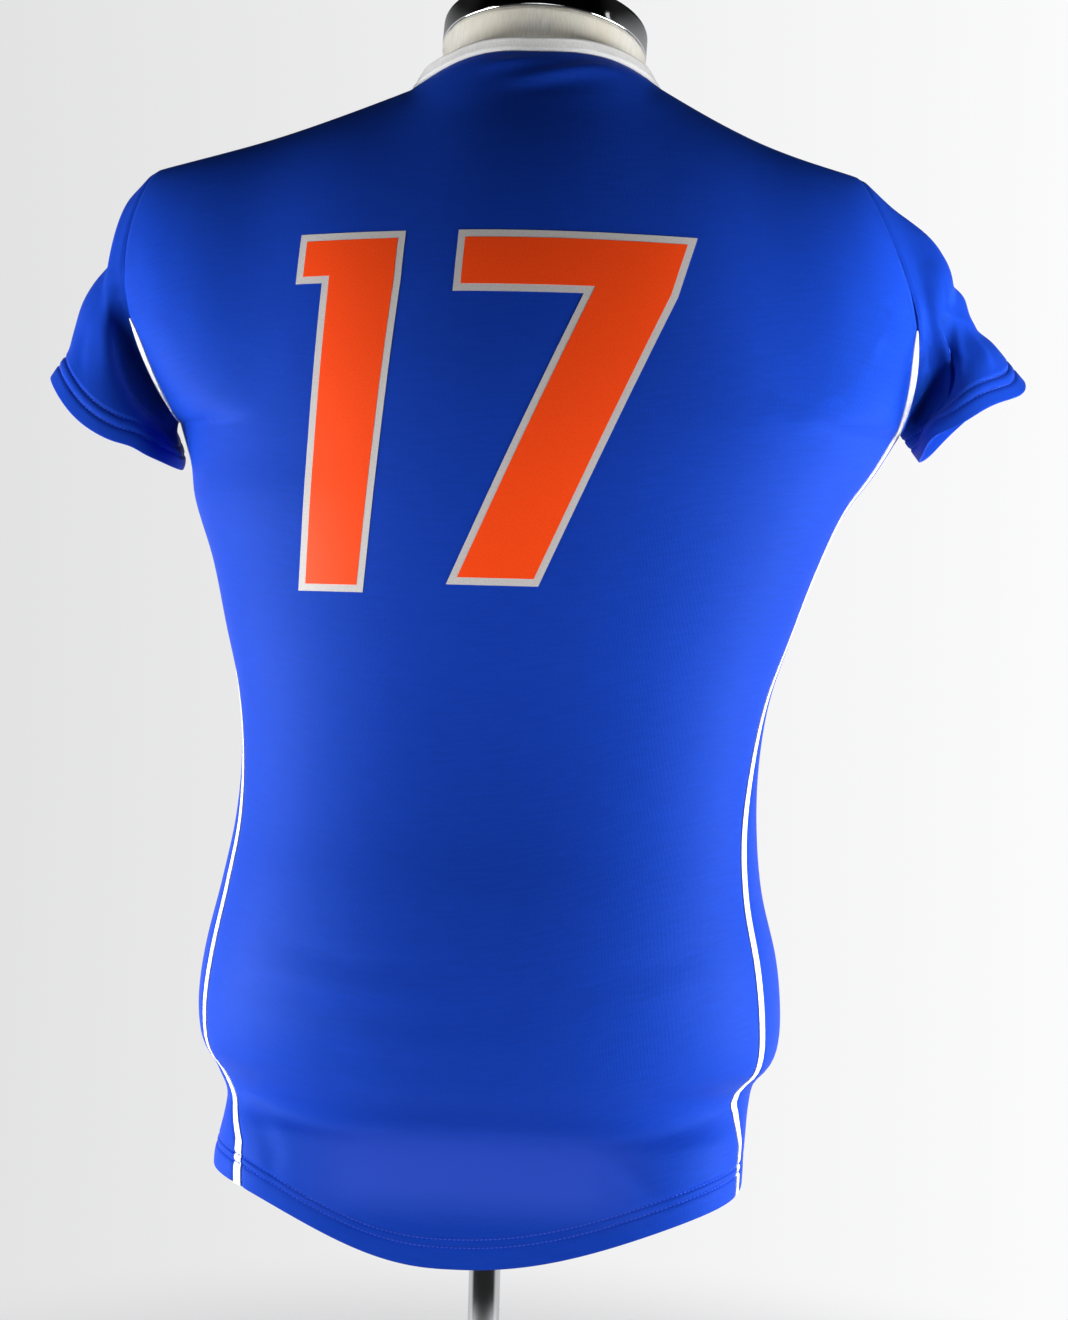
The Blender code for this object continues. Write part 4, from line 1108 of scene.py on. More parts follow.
def fold_height(folds, around, along):
    """How far the folds move the sleeve's wall outwards."""
    height = 0.0
    for fold in folds:
        turn = (around - fold.around + 180) % 360 - 180
        start = smoothstep(along / min(FOLDS_START, fold.along))
        height += fold.height * start * math.exp(-(turn / fold.around_size) ** 2
                                                 - ((along - fold.along) / fold.along_size) ** 2)
    return height


def armhole(is_left):
    """Points and outward directions of the body round the armhole, from the underarm over the back."""
    across = 0.0 if is_left else 1.0
    rises = yoke_rises(SLEEVE_HALF_COLUMNS)
    ways = [(rise, True) for rise in rises] + [(rise, False) for rise in reversed(rises)][1:-1]
    points = [yoke_point(across, rise, is_back) for rise, is_back in ways]
    normals = [body_normal(across, 1 + rise, is_back) for rise, is_back in ways]
    return points, normals


def sleeve_column(sleeve, seam_point, turn):
    """Curve from a point of the armhole to the cuff, as a function of 0 to 1."""
    cuff_centre = (sleeve.cuff_outer + sleeve.cuff_lower) / 2
    cuff_half = (sleeve.cuff_outer - sleeve.cuff_lower) / 2
    end = Vector((-cuff_half.z, 0, cuff_half.x)).normalized()
    if end.z > 0:
        end = -end
    cuff_point = cuff_centre - cuff_half * math.cos(turn)
    cuff_point.y += sleeve.cuff_depth * math.sin(turn)
    for wave in sleeve.cuff_waves:
        cuff_point += end * wave.length * math.exp(-((math.degrees(turn) - wave.around) / wave.size) ** 2)
    start = (sleeve.start - Vector((0, SLEEVE_START_TURN * math.sin(turn), 0))).normalized()
    length = (cuff_point - seam_point).length
    return lambda t: hermite(seam_point, cuff_point, start * length, end * length, t)


def sleeve_steps(length):
    """Distances from the armhole at which a column of the sleeve has its points."""
    seam_zone = min(SLEEVE_SEAM_ZONE, 0.2 * length)
    cuff_zone = min(CUFF_STEPS[0], 0.55 * length)
    steps = [part * seam_zone for part in SEAM_PARTS]
    steps += [seam_zone + (length - cuff_zone - seam_zone) * i / SLEEVE_MIDDLE_ROWS
              for i in range(SLEEVE_MIDDLE_ROWS)]
    return steps + [length - cuff_zone * step / CUFF_STEPS[0] for step in CUFF_STEPS]


def sleeve_grid(is_left, sleeve):
    """Points, shares along, lengths and seam normals; rows run from the armhole to the cuff."""
    seam_points, seam_normals = armhole(is_left)
    count = len(seam_points)
    samples = [i / SLEEVE_SAMPLES for i in range(SLEEVE_SAMPLES + 1)]
    columns, shares, lengths = [], [], []
    for i, seam_point in enumerate(seam_points):
        at = sleeve_column(sleeve, seam_point, 2 * math.pi * i / count)
        run = running_lengths([at(t) for t in samples])
        steps = sleeve_steps(run[-1])
        share = np.interp(steps, run, samples)
        columns.append([at(t) for t in share])
        shares.append(share)
        lengths.append(steps)
    return (np.array(columns).transpose(1, 0, 2), np.array(shares).T, np.array(lengths).T,
            np.array(seam_normals))


def unit(vectors):
    return vectors / np.maximum(np.linalg.norm(vectors, axis=-1, keepdims=True), 1e-12)


def ring_normals(points, side):
    """Outward normals of a tube whose rows are closed rings."""
    across = np.roll(points, -1, axis=1) - np.roll(points, 1, axis=1)
    return unit(np.cross(np.gradient(points, axis=0), across) * -side)


def sleeve_surface(is_left, sleeve):
    """Finished outer points, normals and distances to the armhole and the cuff."""
    side = 1 if is_left else -1
    points, shares, lengths, seam_normals = sleeve_grid(is_left, sleeve)
    count = points.shape[1]
    above_arm = np.array([(1 - math.cos(2 * math.pi * i / count)) / 2 for i in range(count)])
    seam_zone = np.maximum(lengths[len(SEAM_PARTS)], 1e-6)
    nearness = (np.clip(1 - lengths / seam_zone, 0, 1) ** 2 * above_arm)[..., None]
    normals = unit(ring_normals(points, side) * (1 - nearness) + seam_normals[None] * nearness)
    folds = np.array([[fold_height(sleeve.folds, 360 * i / count, t) for i, t in enumerate(row)]
                      for row in shares])
    to_cuff = lengths[-1:] - lengths
    creases = sleeve_creases(points, normals, sleeve.creases) * np.clip(to_cuff / CUFF_BAND, 0.3, 1)
    relief = folds + creases + groove(lengths, SEAM_GROOVE, SEAM_GROOVE_WIDTH)
    relief = with_needle_rows(relief, to_cuff, CUFF_ROWS)
    share = above_arm[:, None]
    sideways = np.array([side, 0, 0]) * (1 - share) + np.array(sleeve.start) * share
    points = points + sideways[None] * PIECE_GAP * np.exp(-lengths / SEAM_GAP_REACH)[..., None]
    return points + normals * relief[..., None], normals, lengths, to_cuff


def sleeve_creases(points, normals, creases):
    """Creases of the back half of a sleeve, faded out where its wall turns to the front."""
    return crease_relief(points, creases) * np.clip(normals[..., 1] * 2.5 + 0.6, 0, 1)


def make_sleeve(side):
    """Hollow tube from the armhole to the open, turned and stitched cuff."""
    points, normals, lengths, to_cuff = sleeve_surface(side.is_left, side.sleeve)
    outer, inner = faces_of_wall(points, normals, np.zeros(lengths.shape), to_cuff, CUFF_BAND)
    around = lengths_along(np.concatenate([points, points[:, :1]], axis=1), 1)[:, :-1]
    uv = np.stack([around, -lengths], axis=-1)
    node = f"sleeve_{side.name}"
    piece = wall_object(node + "_cloth", outer, inner, uv, blue_knit(), closed_across=True,
                        flip=side.is_left)
    finish_piece(piece, "blue_knit", node)


# ---- Collar ----

def neckline_loop():
    """Neckline from the left neck point over the back, and round the front to the start."""
    spans = across_columns(SHOULDER_COLUMNS, NECK_COLUMNS * 2)[SHOULDER_COLUMNS:-SHOULDER_COLUMNS]
    back = [top_point(across, True)[0] for across in spans]
    front = [top_point(across, False)[0] for across in reversed(spans)]
    return back + front[1:-1]


def collar_profile():
    """Folded band with a fuller lower lip, as (outward, upward) points from its outer foot."""
    half_thick, half_high = COLLAR_THICKNESS / 2, COLLAR_HEIGHT / 2
    profile = []
    for i in range(COLLAR_SIDES):
        turn = 2 * math.pi * i / COLLAR_SIDES - math.pi / 4
        across, high = math.cos(turn), math.sin(turn)
        out = math.copysign(abs(across) ** 0.62, across) * half_thick - half_thick
        up = math.copysign(abs(high) ** 0.45, high) * half_high + half_high
        share = up / COLLAR_HEIGHT
        lips = sum(lip * math.exp(-((share - place) / width) ** 2) for lip, place, width in COLLAR_LIPS)
        profile.append((out + (lips if across > 0 else 0.0), up))
    return profile


def make_collar():
    """Rolled band that stands on the neckline, leans towards the neck and thins at the neck points."""
    path = neckline_loop()
    centre = sum(path, Vector()) / len(path)
    profile = collar_profile()
    rings, uvs = [], []
    for position, run in zip(path, running_lengths(path)):
        outward = Vector((position.x - centre.x, position.y - centre.y, 0)).normalized()
        near_left = 1 - smoothstep((position - LEFT_SHOULDER.neck).length / COLLAR_LEFT_REACH)
        near_right = 1 - smoothstep((position - RIGHT_SHOULDER.neck).length / COLLAR_RIGHT_REACH)
        full = 1 - COLLAR_LEFT_DROP * near_left - COLLAR_RIGHT_DROP * near_right
        lean = COLLAR_LEAN + COLLAR_END_LEAN * max(near_left, near_right)
        upward = (Vector((0, 0, 1)) - outward * lean).normalized() * full
        wave = sum(size * math.sin(run * rate + phase) for size, rate, phase in COLLAR_WAVES)
        thick = COLLAR_END_THICKNESS + (1 - COLLAR_END_THICKNESS) * full
        rings.append([position + outward * (out * thick + wave * high / COLLAR_HEIGHT)
                      + upward * high + Vector((0, 0, PIECE_GAP)) for out, high in profile])
        uvs += [(run, k * COLLAR_HEIGHT * 2.6 / COLLAR_SIDES) for k in range(COLLAR_SIDES)]
    points, faces = loft(rings + rings[:1], False, False)
    total = len(path) * COLLAR_SIDES
    faces = [tuple(face[k] % total for k in (0, 3, 2, 1)) for face in faces]
    piece = mesh_object("collar_band", points[:total], faces, white_knit(), uvs)
    finish_piece(piece, "white_knit", "collar")


# ---- Back number ----

def digit_outlines():
    """Corners of the two digits, across and up from the number's lower left, all one way round."""
    top = DIGIT_HEIGHT
    flag_low = top - FLAG_HEIGHT
    bar_low = top - BAR_HEIGHT
    return {"one": ((FLAG_WIDTH, 0.0), (0.0580, 0.0), (0.0660, flag_low), (0.0660, top), (0.0, top),
                    (0.0, flag_low), (FLAG_WIDTH, flag_low)),
            "seven": ((0.1080, SEVEN_FOOT), (0.1620, SEVEN_FOOT), (0.2280, bar_low), (0.2360, top),
                      (0.0980, top), (0.0980, bar_low), (0.1740, bar_low))}


def inset_outline(corners, distance):
    """Outline moved inwards by a distance, its corners kept sharp."""
    points = [Vector(corner) for corner in corners]
    made = []
    for before, corner, after in zip(points[-1:] + points[:-1], points, points[1:] + points[:1]):
        first, second = (corner - before).normalized(), (after - corner).normalized()
        first_in, second_in = Vector((-first.y, first.x)), Vector((-second.y, second.x))
        bisector = (first_in + second_in).normalized()
        made.append(corner + bisector * (distance / bisector.dot(first_in)))
    return made


def inside_outline(corners, x, z):
    """True where a point lies inside an outline of (x, z) corners."""
    inside = False
    for (x1, z1), (x2, z2) in zip(corners, corners[1:] + corners[:1]):
        if (z1 > z) != (z2 > z) and x < (x2 - x1) * (z - z1) / (z2 - z1) + x1:
            inside = not inside
    return inside


def number_corners(outline):
    return [(NUMBER_LEFT - across + DIGIT_LEAN * (high - DIGIT_HEIGHT / 2), NUMBER_BOTTOM + high)
            for across, high in outline]


def cut_patch(corners, cloth_points):
    """Part of the cloth's own faces inside an outline of (x, z) corners, facing outwards."""
    patch = bmesh.new()
    inside = np.ones(cloth_points.shape[:2], dtype=bool)
    for axis, places in ((0, [x for x, _ in corners]), (2, [z for _, z in corners])):
        inside &= cloth_points[..., axis] > min(places) - PRINT_MARGIN
        inside &= cloth_points[..., axis] < max(places) + PRINT_MARGIN
    verts = {(r, c): patch.verts.new(cloth_points[r, c]) for r, c in zip(*np.nonzero(inside))}
    for r, c in list(verts):
        ring = [(r, c), (r, c + 1), (r + 1, c + 1), (r + 1, c)]
        if all(key in verts for key in ring):
            patch.faces.new([verts[key] for key in ring])
    for start, end in zip(corners, corners[1:] + corners[:1]):
        way = Vector((end[0] - start[0], 0, end[1] - start[1]))
        bmesh.ops.bisect_plane(patch, geom=patch.verts[:] + patch.edges[:] + patch.faces[:], dist=1e-7,
                               plane_co=(start[0], 0, start[1]), plane_no=way.cross(Vector((0, 1, 0))))
    middles = [(face, face.calc_center_median()) for face in patch.faces]
    outside = [face for face, middle in middles if not inside_outline(corners, middle.x, middle.z)]
    bmesh.ops.delete(patch, geom=outside, context="FACES")
    patch.normal_update()
    if sum(face.normal.y for face in patch.faces) < 0:
        bmesh.ops.reverse_faces(patch, faces=patch.faces[:])
        patch.normal_update()
    return patch


def print_layer(name, outline, cloth_points, lift, material, node):
    """Thin layer of print: a patch of the cloth moved out, with a second face and walls round its edge."""
    patch = cut_patch(number_corners(outline), cloth_points)
    patch.verts.index_update()
    count = len(patch.verts)
    points = [vert.co + vert.normal * out for out in (lift, lift + PRINT_THICKNESS) for vert in patch.verts]
    uvs = [(vert.co.x, vert.co.z) for vert in patch.verts] * 2
    faces = []
    for face in patch.faces:
        ring = [vert.index for vert in face.verts]
        faces += [[i + count for i in ring], ring[::-1]]
    for edge in patch.edges:
        if edge.is_boundary:
            loop = edge.link_loops[0]
            a, b = loop.vert.index, loop.link_loop_next.vert.index
            faces.append([a, b, b + count, a + count])
    patch.free()
    finish_piece(mesh_object(name, points, faces, material, uvs, smooth_angle=40), "orange_print", node)


def make_number(back_points):
    """Two digits, each a pale edge print with an orange fill on it."""
    orange = found_material("number_orange", print_material, tuple(cloth().number), 0.42)
    edge = found_material("number_edge", print_material, tuple(cloth().number_edge), 0.45)
    for digit, outline in digit_outlines().items():
        node = f"number_{digit}"
        print_layer(node + "_edge", outline, back_points, PRINT_LIFT - PRINT_THICKNESS, edge, node)
        print_layer(node + "_fill", inset_outline(outline, DIGIT_EDGE), back_points,
                    PRINT_LIFT - FILL_OVERLAP, orange, node)


# ---- Stitching ----

def along_line(place, run, values):
    """Point or direction at a place on a line, from its running lengths."""
    return [np.interp(place, run, values[:, axis]) for axis in range(3)]


def stitch_row(points, normals, width):
    """Vertices and faces of small raised stitches laid end to end along a closed line."""
    closed = np.concatenate([points, points[:1]])
    closed_normals = np.concatenate([normals, normals[:1]])
    run = lengths_along(closed[None], 1)[0]
    total = run[-1]
    number = max(1, round(total / STITCH_PITCH))
    verts, faces = [], []
    for k in range(number):
        middle = total * (k + 0.5) / number
        first = len(verts)
        for along, size, lift in STITCH_RINGS:
            place = (middle + along * STITCH_LENGTH) % total
            point = Vector(along_line(place, run, closed))
            normal = Vector(along_line(place, run, closed_normals)).normalized()
            way = Vector(along_line((place + 0.0004) % total, run, closed)) - point
            across = way.cross(normal).normalized() * width / 2 * size
            raised = point + normal * lift * width
            deep = normal * width * 0.42 * size
            verts += [raised - across, raised + deep, raised + across, raised - deep]
        last = first + (len(STITCH_RINGS) - 1) * 4
        for ring in range(first, last, 4):
            for c in range(4):
                a, b = ring + c, ring + (c + 1) % 4
                faces.append((a, a + 4, b + 4, b))
        faces.append((first, first + 1, first + 2, first + 3))
        faces.append((last + 3, last + 2, last + 1, last))
    return verts, faces


def stitch_object(name, lines, material):
    verts, faces = [], []
    for points, normals in lines:
        row_verts, row_faces = stitch_row(points, normals, cloth().stitch_width)
        faces += [tuple(i + len(verts) for i in face) for face in row_faces]
        verts += row_verts
    finish_piece(mesh_object(name, verts, faces, material, smooth_angle=60), "blue_knit")


def line_at(distance, runs, points, normals):
    """Points and normals of a surface's columns at a running length, which rises down each column."""
    return [np.array([along_line(distance, runs[:, c], grid[:, c]) for c in range(runs.shape[1])])
            for grid in (points, normals)]


def hem_line(distance):
    """Closed line on the outer face of the body, a distance along the cloth above the hem."""
    ups = [step / (ARMPIT - HEM) for step in HEM_STEPS]
    fractions = [i / HEM_LINE_SPANS for i in range(HEM_LINE_SPANS + 1)]
    halves = []
    for is_back, row in ((True, fractions), (False, fractions[::-1])):
        grid, normals, relief = body_grid([row] * len(ups), ups, is_back)
        height = lengths_along(grid, 0)
        outer = grid + normals * (relief + hem_relief(height))[..., None]
        halves.append(line_at(distance, height[:, :-1], outer[:, :-1], normals[:, :-1]))
    return [np.concatenate(half) for half in zip(*halves)]


def make_stitching():
    """Twin rows of stitches round the hem and both cuffs."""
    thread = found_material("blue_thread", thread_material, shade_of(tuple(cloth().blue), 1.6))
    stitch_object("hem_stitches", [hem_line(distance) for distance in HEM_ROWS], thread)
    for side in SIDES:
        outer, normals, _, to_cuff = (grid[::-1] for grid in sleeve_surface(side.is_left, side.sleeve))
        lines = [line_at(distance, to_cuff, outer, normals) for distance in CUFF_ROWS]
        stitch_object(f"cuff_{side.name}_stitches", lines, thread)


# ---- Dress form ----

def spread_between(start, end, count):
    """Values that divide the span between two values or points evenly."""
    return [start + (end - start) * (i + 1) / (count + 1) for i in range(count)]


def form_ring(height, inset, columns):
    """Horizontal section of the torso form, as far inside the cloth as its table says."""
    left, right, back, front, roundness = section(height)
    side = from_table(FORM_CLEARANCES, height, "side") + inset
    depth = from_table(FORM_CLEARANCES, height, "depth") + inset
    back_angles = [angle_along(height, True, across) for across in columns]
    front_angles = [angle_along(height, False, across) + 2 * math.pi for across in reversed(columns)]
    angles = back_angles + spread_between(back_angles[-1], front_angles[0], PLATE_POINTS) + front_angles
    angles += spread_between(front_angles[-1], back_angles[0] + 2 * math.pi, PLATE_POINTS)
    return [oval_point(height, angle, left - side, right - side, back - depth, front - depth,
                       max(roundness, FORM_ROUNDNESS)) for angle in angles]


def form_yoke_ring(rise, columns):
    """Row of the form under the yoke: the back, the right arm plate, the front and the left plate."""
    near_top = smoothstep((rise - FORM_CLOSE_START) / (FORM_CLOSE_END - FORM_CLOSE_START))
    gap = FORM_BACK_GAP + (FORM_SHOULDER_GAP - FORM_BACK_GAP) * near_top
    halves = []
    for is_back in (True, False):
        row = []
        for across in columns:
            inward = min(across, 1 - across)
            near_neck = smoothstep((inward - NECK_FRACTION + FORM_NECK_BLEND) / FORM_NECK_BLEND)
            normal = body_normal(across, 1 + rise, is_back)
            point = yoke_point(across, rise, is_back) - normal * (cloth().thickness + gap)
            point.z -= FORM_NECK_DROP * near_neck * near_top
            row.append(point)
        halves.append(row)
    back, front = halves[0], halves[1][::-1]
    return (back + spread_between(back[-1], front[0], PLATE_POINTS) + front
            + spread_between(front[-1], back[0], PLATE_POINTS))


def turned_ring(centre, radius, axis, count, phase=0.0):
    """Ring of a turned shape, square to its axis."""
    side = Vector((0, 1, 0)).cross(axis).normalized()
    deep = axis.cross(side)
    angles = [2 * math.pi * (i + phase) / count for i in range(count)]
    return [centre + side * radius * math.cos(a) + deep * radius * math.sin(a) for a in angles]


def loft(rings, bottom_cap=True, top_cap=True):
    """Points and faces between rings that all run the same way round."""
    count = len(rings[0])
    points = [p for ring in rings for p in ring]
    faces = []
    for r in range(len(rings) - 1):
        for i in range(count):
            a, b = r * count + i, r * count + (i + 1) % count
            faces.append((a, b, b + count, a + count))
    if bottom_cap:
        faces.append(tuple(reversed(range(count))))
    if top_cap:
        faces.append(tuple(range((len(rings) - 1) * count, len(rings) * count)))
    return points, faces


def neck_rings(opening):
    """Rings of the neck, from the shoulders' opening to the cap, with puckers under the cap."""
    around = len(opening)
    length = (NECK_TOP_CENTRE - NECK_BASE_CENTRE).length
    axis = (NECK_TOP_CENTRE - NECK_BASE_CENTRE).normalized()
    collar_clear = []
    for point in opening:
        inward = NECK_BASE_CENTRE - point
        inward.z = 0
        collar_clear.append(point + inward.normalized() * FORM_COLLAR_CLEARANCE)
    draw = random.Random(NECK_SEED)
    puckers = [NECK_PUCKER * draw.uniform(-1, 1) for _ in range(around)]
    rings = [collar_clear]
    for i in range(NECK_RINGS):
        along = NECK_START + (1 - NECK_START) * i / (NECK_RINGS - 1)
        radius = NECK_RADIUS + (NECK_TOP_RADIUS - NECK_RADIUS) * (along - NECK_START) / (1 - NECK_START)
        radius -= NECK_TOP_INSET * smoothstep((along - 0.9) / 0.1)
        centre = NECK_BASE_CENTRE + axis * length * along
        puckered = smoothstep((along - 0.75) / 0.2)
        ring = turned_ring(centre, radius, axis, around, 0.5)
        rings.append([point + (point - centre).normalized() * (pucker * puckered)
                      for point, pucker in zip(ring, puckers)])
    return rings


def torso_rings(columns):
    """Rings of the torso from its rounded lower edge to just under the shoulder seams."""
    turns = [math.radians(part) for part in range(0, 91, 15)]
    rings = [form_ring(FORM_BOTTOM + FORM_BOTTOM_EDGE * (1 - math.cos(turn)),
                       FORM_BOTTOM_EDGE * (1 - math.sin(turn)), columns) for turn in turns]
    start = FORM_BOTTOM + FORM_BOTTOM_EDGE + FORM_FIRST_STEP
    rings += [form_ring(start + (FORM_LOWER_TOP - start) * i / FORM_LOWER_ROWS, 0.0, columns)
              for i in range(FORM_LOWER_ROWS + 1)]
    rises = [rise for rise in yoke_rises(FORM_YOKE_ROWS) if rise < FORM_TOP_ROW]
    return rings + [form_yoke_ring(rise, columns) for rise in rises]


def make_torso():
    """Closed torso in its fabric cover: underside, sides, shoulders and a short neck."""
    columns = across_columns(FORM_SHOULDER_COLUMNS, FORM_NECK_COLUMNS)
    columns = columns[FORM_SKIPPED_COLUMNS:-FORM_SKIPPED_COLUMNS]
    rings = torso_rings(columns)
    points, faces = loft(rings, top_cap=False)

    # the last ring's back and front halves, both from the left side, and the arm plates between them
    last = len(columns) - 1
    first = len(points) - len(rings[0])
    back = list(range(first, first + last + 1))
    right_plate = range(back[-1] + 1, back[-1] + 1 + PLATE_POINTS)
    front = list(range(right_plate[-1] + 1, right_plate[-1] + last + 2))[::-1]
    left_plate = range(front[0] + 1, front[0] + 1 + PLATE_POINTS)

    # faces across the shoulder seams, outside the neck's opening
    low = FORM_SHOULDER_COLUMNS - FORM_SKIPPED_COLUMNS
    high = last - low
    for c in (*range(1, low), *range(high, last - 1)):
        faces.append((back[c], back[c + 1], front[c + 1], front[c]))
    faces.append((back[-2], back[-1], *right_plate, front[-1], front[-2]))
    faces.append((front[1], front[0], *left_plate, back[0], back[1]))

    previous = back[low:high + 1] + front[low:high + 1][::-1]
    around = len(previous)
    for ring in neck_rings([points[i] for i in previous]):
        current = list(range(len(points), len(points) + around))
        points += ring
        for i in range(around):
            j = (i + 1) % around
            faces.append((previous[i], previous[j], current[j], current[i]))
        previous = current
    faces.append(tuple(previous))
    cover = found_material("napped_cover", cover_material, tuple(form_settings().cover))
    piece = mesh_object("form_torso_cover", points, faces, cover, smooth_angle=60)
    finish_piece(piece, "form_cover", "form_torso")


def rounded(radius, low, high, low_edge, high_edge, steps=6):
    """Profile of a turned cylinder with rounded edges, from its foot to its top."""
    turns = [math.pi / 2 * i / steps for i in range(steps + 1)]
    foot = [(radius - low_edge * (1 - math.sin(turn)), low + low_edge * (1 - math.cos(turn)))
            for turn in turns]
    return foot + [(radius - high_edge * (1 - math.cos(turn)), high - high_edge * (1 - math.sin(turn)))
                   for turn in turns]


def turned_piece(node, centre, axis, profile, slot="chrome"):
    """Polished turned piece from (radius, height) pairs along an axis."""
    count = form_settings().segments
    rings = [turned_ring(centre + axis * high, radius, axis, count) for radius, high in profile]
    finish_piece(mesh_object(node + "_polished", *loft(rings), chrome(), smooth_angle=35), slot, node)


def make_cap():
    """Polished cap on the neck, with a low lip round its foot."""
    axis = (NECK_TOP_CENTRE - NECK_BASE_CENTRE).normalized()
    profile = rounded(NECK_TOP_RADIUS, TURNED_GAP, CAP_HEIGHT, FOOT_EDGE, TOP_EDGE)
    turned_piece("neck_cap", NECK_TOP_CENTRE, axis, profile, "dark_chrome")


def make_stand():
    """Chrome pole and the round base plate with its boss."""
    upright = Vector((0, 0, 1))
    foot = BASE_HEIGHT + BOSS_HEIGHT + POLE_GAP
    pole = rounded(POLE_RADIUS, foot, FORM_BOTTOM - TURNED_GAP, POLE_EDGE, POLE_EDGE, 2)
    turned_piece("stand_pole", Vector(), upright, pole)
    base = rounded(BASE_RADIUS, 0.0, BASE_HEIGHT, FOOT_EDGE, TOP_EDGE)
    base += [(radius, BASE_HEIGHT + rise) for radius, rise in
             ((0.060, 0.0006), (0.030, 0.0012), (BOSS_RADIUS + 0.0012, 0.0016), (BOSS_RADIUS, 0.0026),
              (BOSS_TOP_RADIUS + 0.0006, BOSS_HEIGHT - 0.0016), (BOSS_TOP_RADIUS, BOSS_HEIGHT - 0.0005),
              (BOSS_TOP_RADIUS - 0.0006, BOSS_HEIGHT))]
    turned_piece("stand_base", Vector(), upright, base)


# ---- Stage ----

def make_floor(settings):
    """Pale floor that fades into the backdrop."""
    mesh = bpy.data.meshes.new("studio_floor")
    angles = [2 * math.pi * i / FLOOR_SIDES for i in range(FLOOR_SIDES)]
    mesh.from_pydata([(FLOOR_RADIUS * math.cos(a), FLOOR_RADIUS * math.sin(a), 0) for a in angles], [],
                     [tuple(range(FLOOR_SIDES))])
    floor = bpy.data.objects.new("studio_floor", mesh)
    bpy.context.collection.objects.link(floor)
    material, tree, shader = plain_material("studio_floor")
    set_inputs(tree, shader, Base_Color=(*settings.floor, 1), Roughness=0.9)
    distance = add_node(tree, "VectorMath", {"operation": "LENGTH"}, Vector=object_place(tree))
    fade = soft_range(tree, distance.outputs["Value"], 0.25, 0.80)
    clear = add_node(tree, "BsdfTransparent")
    mix_shaders(tree, fade, shader.outputs["BSDF"], clear.outputs["BSDF"], "Material Output")
    mesh.materials.append(material)


def mix_shaders(tree, factor, first, second, output):
    """Mix of two shaders as the surface of a material or the world."""
    mix = add_node(tree, "MixShader", Fac=factor)
    tree.links.new(first, mix.inputs[1])
    tree.links.new(second, mix.inputs[2])
    set_inputs(tree, tree.nodes[output], Surface=mix.outputs["Shader"])


def make_world(settings):
    """Pale backdrop to look at; the light it gives is dark overhead and towards the room."""
    world = bpy.data.worlds.new("studio")
    bpy.context.scene.world = world
    world.use_nodes = True
    tree = world.node_tree
    seen = tree.nodes["Background"]
    way = add_node(tree, "TexCoord").outputs["Generated"]
    parts = add_node(tree, "SeparateXYZ", Vector=way).outputs
    across = map_range(tree, parts["X"], settings.backdrop * 1.16, settings.backdrop * 0.86, -0.20, 0.40)
    set_inputs(tree, seen, Strength=across, Color=(0.99, 0.99, 1.0, 1))
    strength = product(tree, soft_range(tree, parts["Z"], 0.0, 0.45, 1.0, 0.02),
                       soft_range(tree, parts["Y"], -0.2, 0.3, 0.9, 0.03))
    light = add_node(tree, "Background", Strength=strength)
    rays = add_node(tree, "LightPath").outputs["Is Camera Ray"]
    mix_shaders(tree, rays, light.outputs["Background"], seen.outputs["Background"], "World Output")


def add_light(kind, power):
    """Area light that isn't seen itself, turned to its target."""
    data = bpy.data.lights.new(kind.name, "AREA")
    data.shape = "RECTANGLE"
    data.size, data.size_y = kind.size
    data.energy = power
    data.spread = math.radians(kind.spread)
    light = bpy.data.objects.new(kind.name, data)
    light.visible_camera = False
    light.location = kind.place
    light.rotation_euler = (Vector(kind.target) - Vector(kind.place)).to_track_quat("-Z", "Y").to_euler()
    bpy.context.collection.objects.link(light)


def make_camera(settings):
    """Camera behind the wearer, a little to the right, rolled very slightly."""
    aside, yaw, pitch, roll = (math.radians(angle) for angle in
                               (CAMERA_SIDE_ANGLE, CAMERA_YAW, CAMERA_PITCH, CAMERA_ROLL))
    data = bpy.data.cameras.new("camera")
    data.lens = settings.lens
    data.sensor_width = 36.0
    camera = bpy.data.objects.new("camera", data)
    place = Vector((-settings.distance * math.sin(aside), settings.distance * math.cos(aside), settings.eye))
    forward = Vector((math.sin(aside), -math.cos(aside), 0))
    right = Vector((-math.cos(aside), -math.sin(aside), 0))
    forward = (forward * math.cos(yaw) + right * math.sin(yaw)).normalized()
    forward = (forward * math.cos(pitch) + Vector((0, 0, -1)) * math.sin(pitch)).normalized()
    right = forward.cross(Vector((0, 0, 1))).normalized()
    above = right.cross(forward)
    above, right = (above * math.cos(roll) - right * math.sin(roll),
                    right * math.cos(roll) + above * math.sin(roll))
    camera.matrix_world = (Matrix.Translation(place)
                           @ Matrix((right, above, -forward)).transposed().to_4x4())
    bpy.context.collection.objects.link(camera)
    bpy.context.scene.camera = camera


def make_stage():
    settings = bpy.context.scene.jersey_stage
    make_floor(settings)
    make_world(settings)
    for kind in LIGHTS:
        add_light(kind, getattr(settings, kind.power) * kind.share)
    make_camera(settings)
    bpy.context.scene.view_settings.view_transform = "Standard"


# ---- Operators ----

class JERSEY_OT_cloth(bpy.types.Operator):
    """Build the front and back panels, their side stripes and the back number"""
    bl_idname = "jersey.cloth"
    bl_label = "Body, Stripes and Number"

    def execute(self, context):
        back_points = make_panels()
        make_stripes()
        make_number(back_points)
        return {"FINISHED"}


class JERSEY_OT_sleeves(bpy.types.Operator):
    """Build both sleeves with their folds and turned cuffs"""
    bl_idname = "jersey.sleeves"
    bl_label = "Sleeves"

    def execute(self, context):
        for side in SIDES:
            make_sleeve(side)
        return {"FINISHED"}


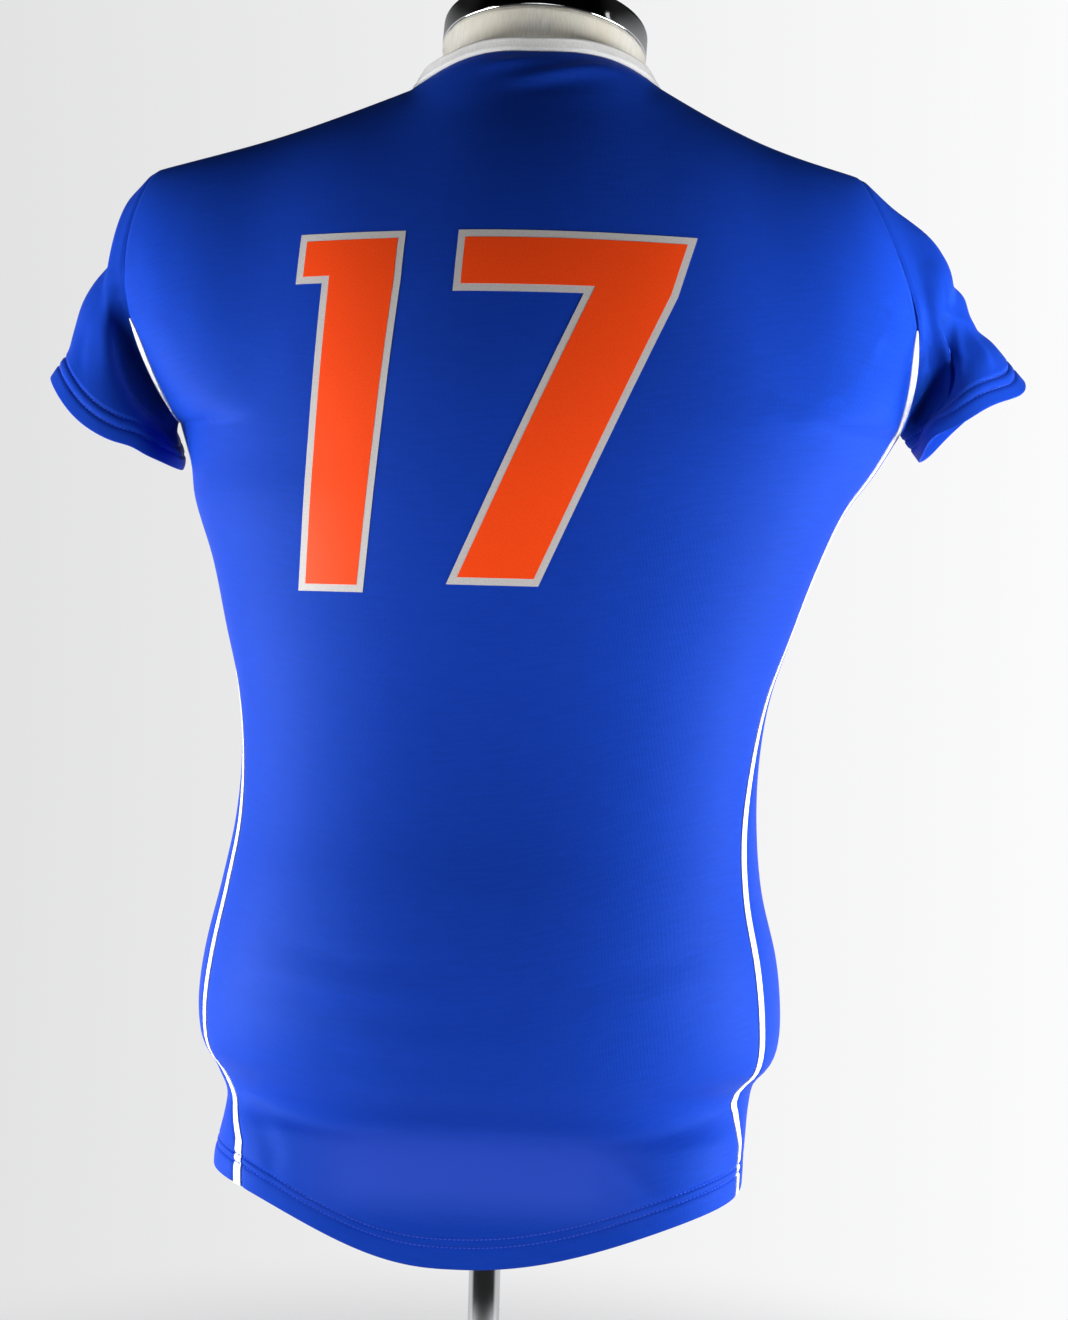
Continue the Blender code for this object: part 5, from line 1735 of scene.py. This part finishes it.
class JERSEY_OT_collar(bpy.types.Operator):
    """Build the rolled collar band"""
    bl_idname = "jersey.collar"
    bl_label = "Collar"

    def execute(self, context):
        make_collar()
        return {"FINISHED"}


class JERSEY_OT_stitching(bpy.types.Operator):
    """Sew the twin rows of stitches round the hem and the cuffs"""
    bl_idname = "jersey.stitching"
    bl_label = "Stitching"

    def execute(self, context):
        make_stitching()
        return {"FINISHED"}


class JERSEY_OT_dress_form(bpy.types.Operator):
    """Build the covered torso form and its neck cap"""
    bl_idname = "jersey.dress_form"
    bl_label = "Dress Form"

    def execute(self, context):
        make_torso()
        make_cap()
        return {"FINISHED"}


class JERSEY_OT_stand(bpy.types.Operator):
    """Build the pole and the base plate"""
    bl_idname = "jersey.stand"
    bl_label = "Stand"

    def execute(self, context):
        make_stand()
        return {"FINISHED"}


class JERSEY_OT_stage(bpy.types.Operator):
    """Set the floor, the lights, the backdrop and the camera"""
    bl_idname = "jersey.stage"
    bl_label = "Stage"

    def execute(self, context):
        make_stage()
        return {"FINISHED"}


STEPS = (JERSEY_OT_cloth, JERSEY_OT_sleeves, JERSEY_OT_collar, JERSEY_OT_stitching, JERSEY_OT_dress_form,
         JERSEY_OT_stand, JERSEY_OT_stage)


class JERSEY_PT_sidebar(bpy.types.Panel):
    """Settings and build steps of the jersey"""
    bl_idname = "JERSEY_PT_sidebar"
    bl_label = "Jersey"
    bl_space_type = "VIEW_3D"
    bl_region_type = "UI"
    bl_category = "Jersey"

    def draw(self, context):
        for settings in (context.scene.jersey_cloth, context.scene.jersey_form, context.scene.jersey_stage):
            box = self.layout.box()
            for name in settings.__annotations__:
                box.prop(settings, name)
        for step in STEPS:
            self.layout.operator(step.bl_idname)


CLASSES = (ClothSettings, FormSettings, StageSettings) + STEPS + (JERSEY_PT_sidebar,)


def register():
    for made in CLASSES:
        bpy.utils.register_class(made)
    bpy.types.Scene.jersey_cloth = PointerProperty(type=ClothSettings)
    bpy.types.Scene.jersey_form = PointerProperty(type=FormSettings)
    bpy.types.Scene.jersey_stage = PointerProperty(type=StageSettings)


def unregister():
    for name in ("jersey_stage", "jersey_form", "jersey_cloth"):
        delattr(bpy.types.Scene, name)
    for made in reversed(CLASSES):
        bpy.utils.unregister_class(made)


def main():
    register()
    bpy.ops.jersey.cloth()
    bpy.ops.jersey.sleeves()
    bpy.ops.jersey.collar()
    bpy.ops.jersey.stitching()
    bpy.ops.jersey.dress_form()
    bpy.ops.jersey.stand()
    bpy.ops.jersey.stage()


if __name__ == "__main__":
    main()
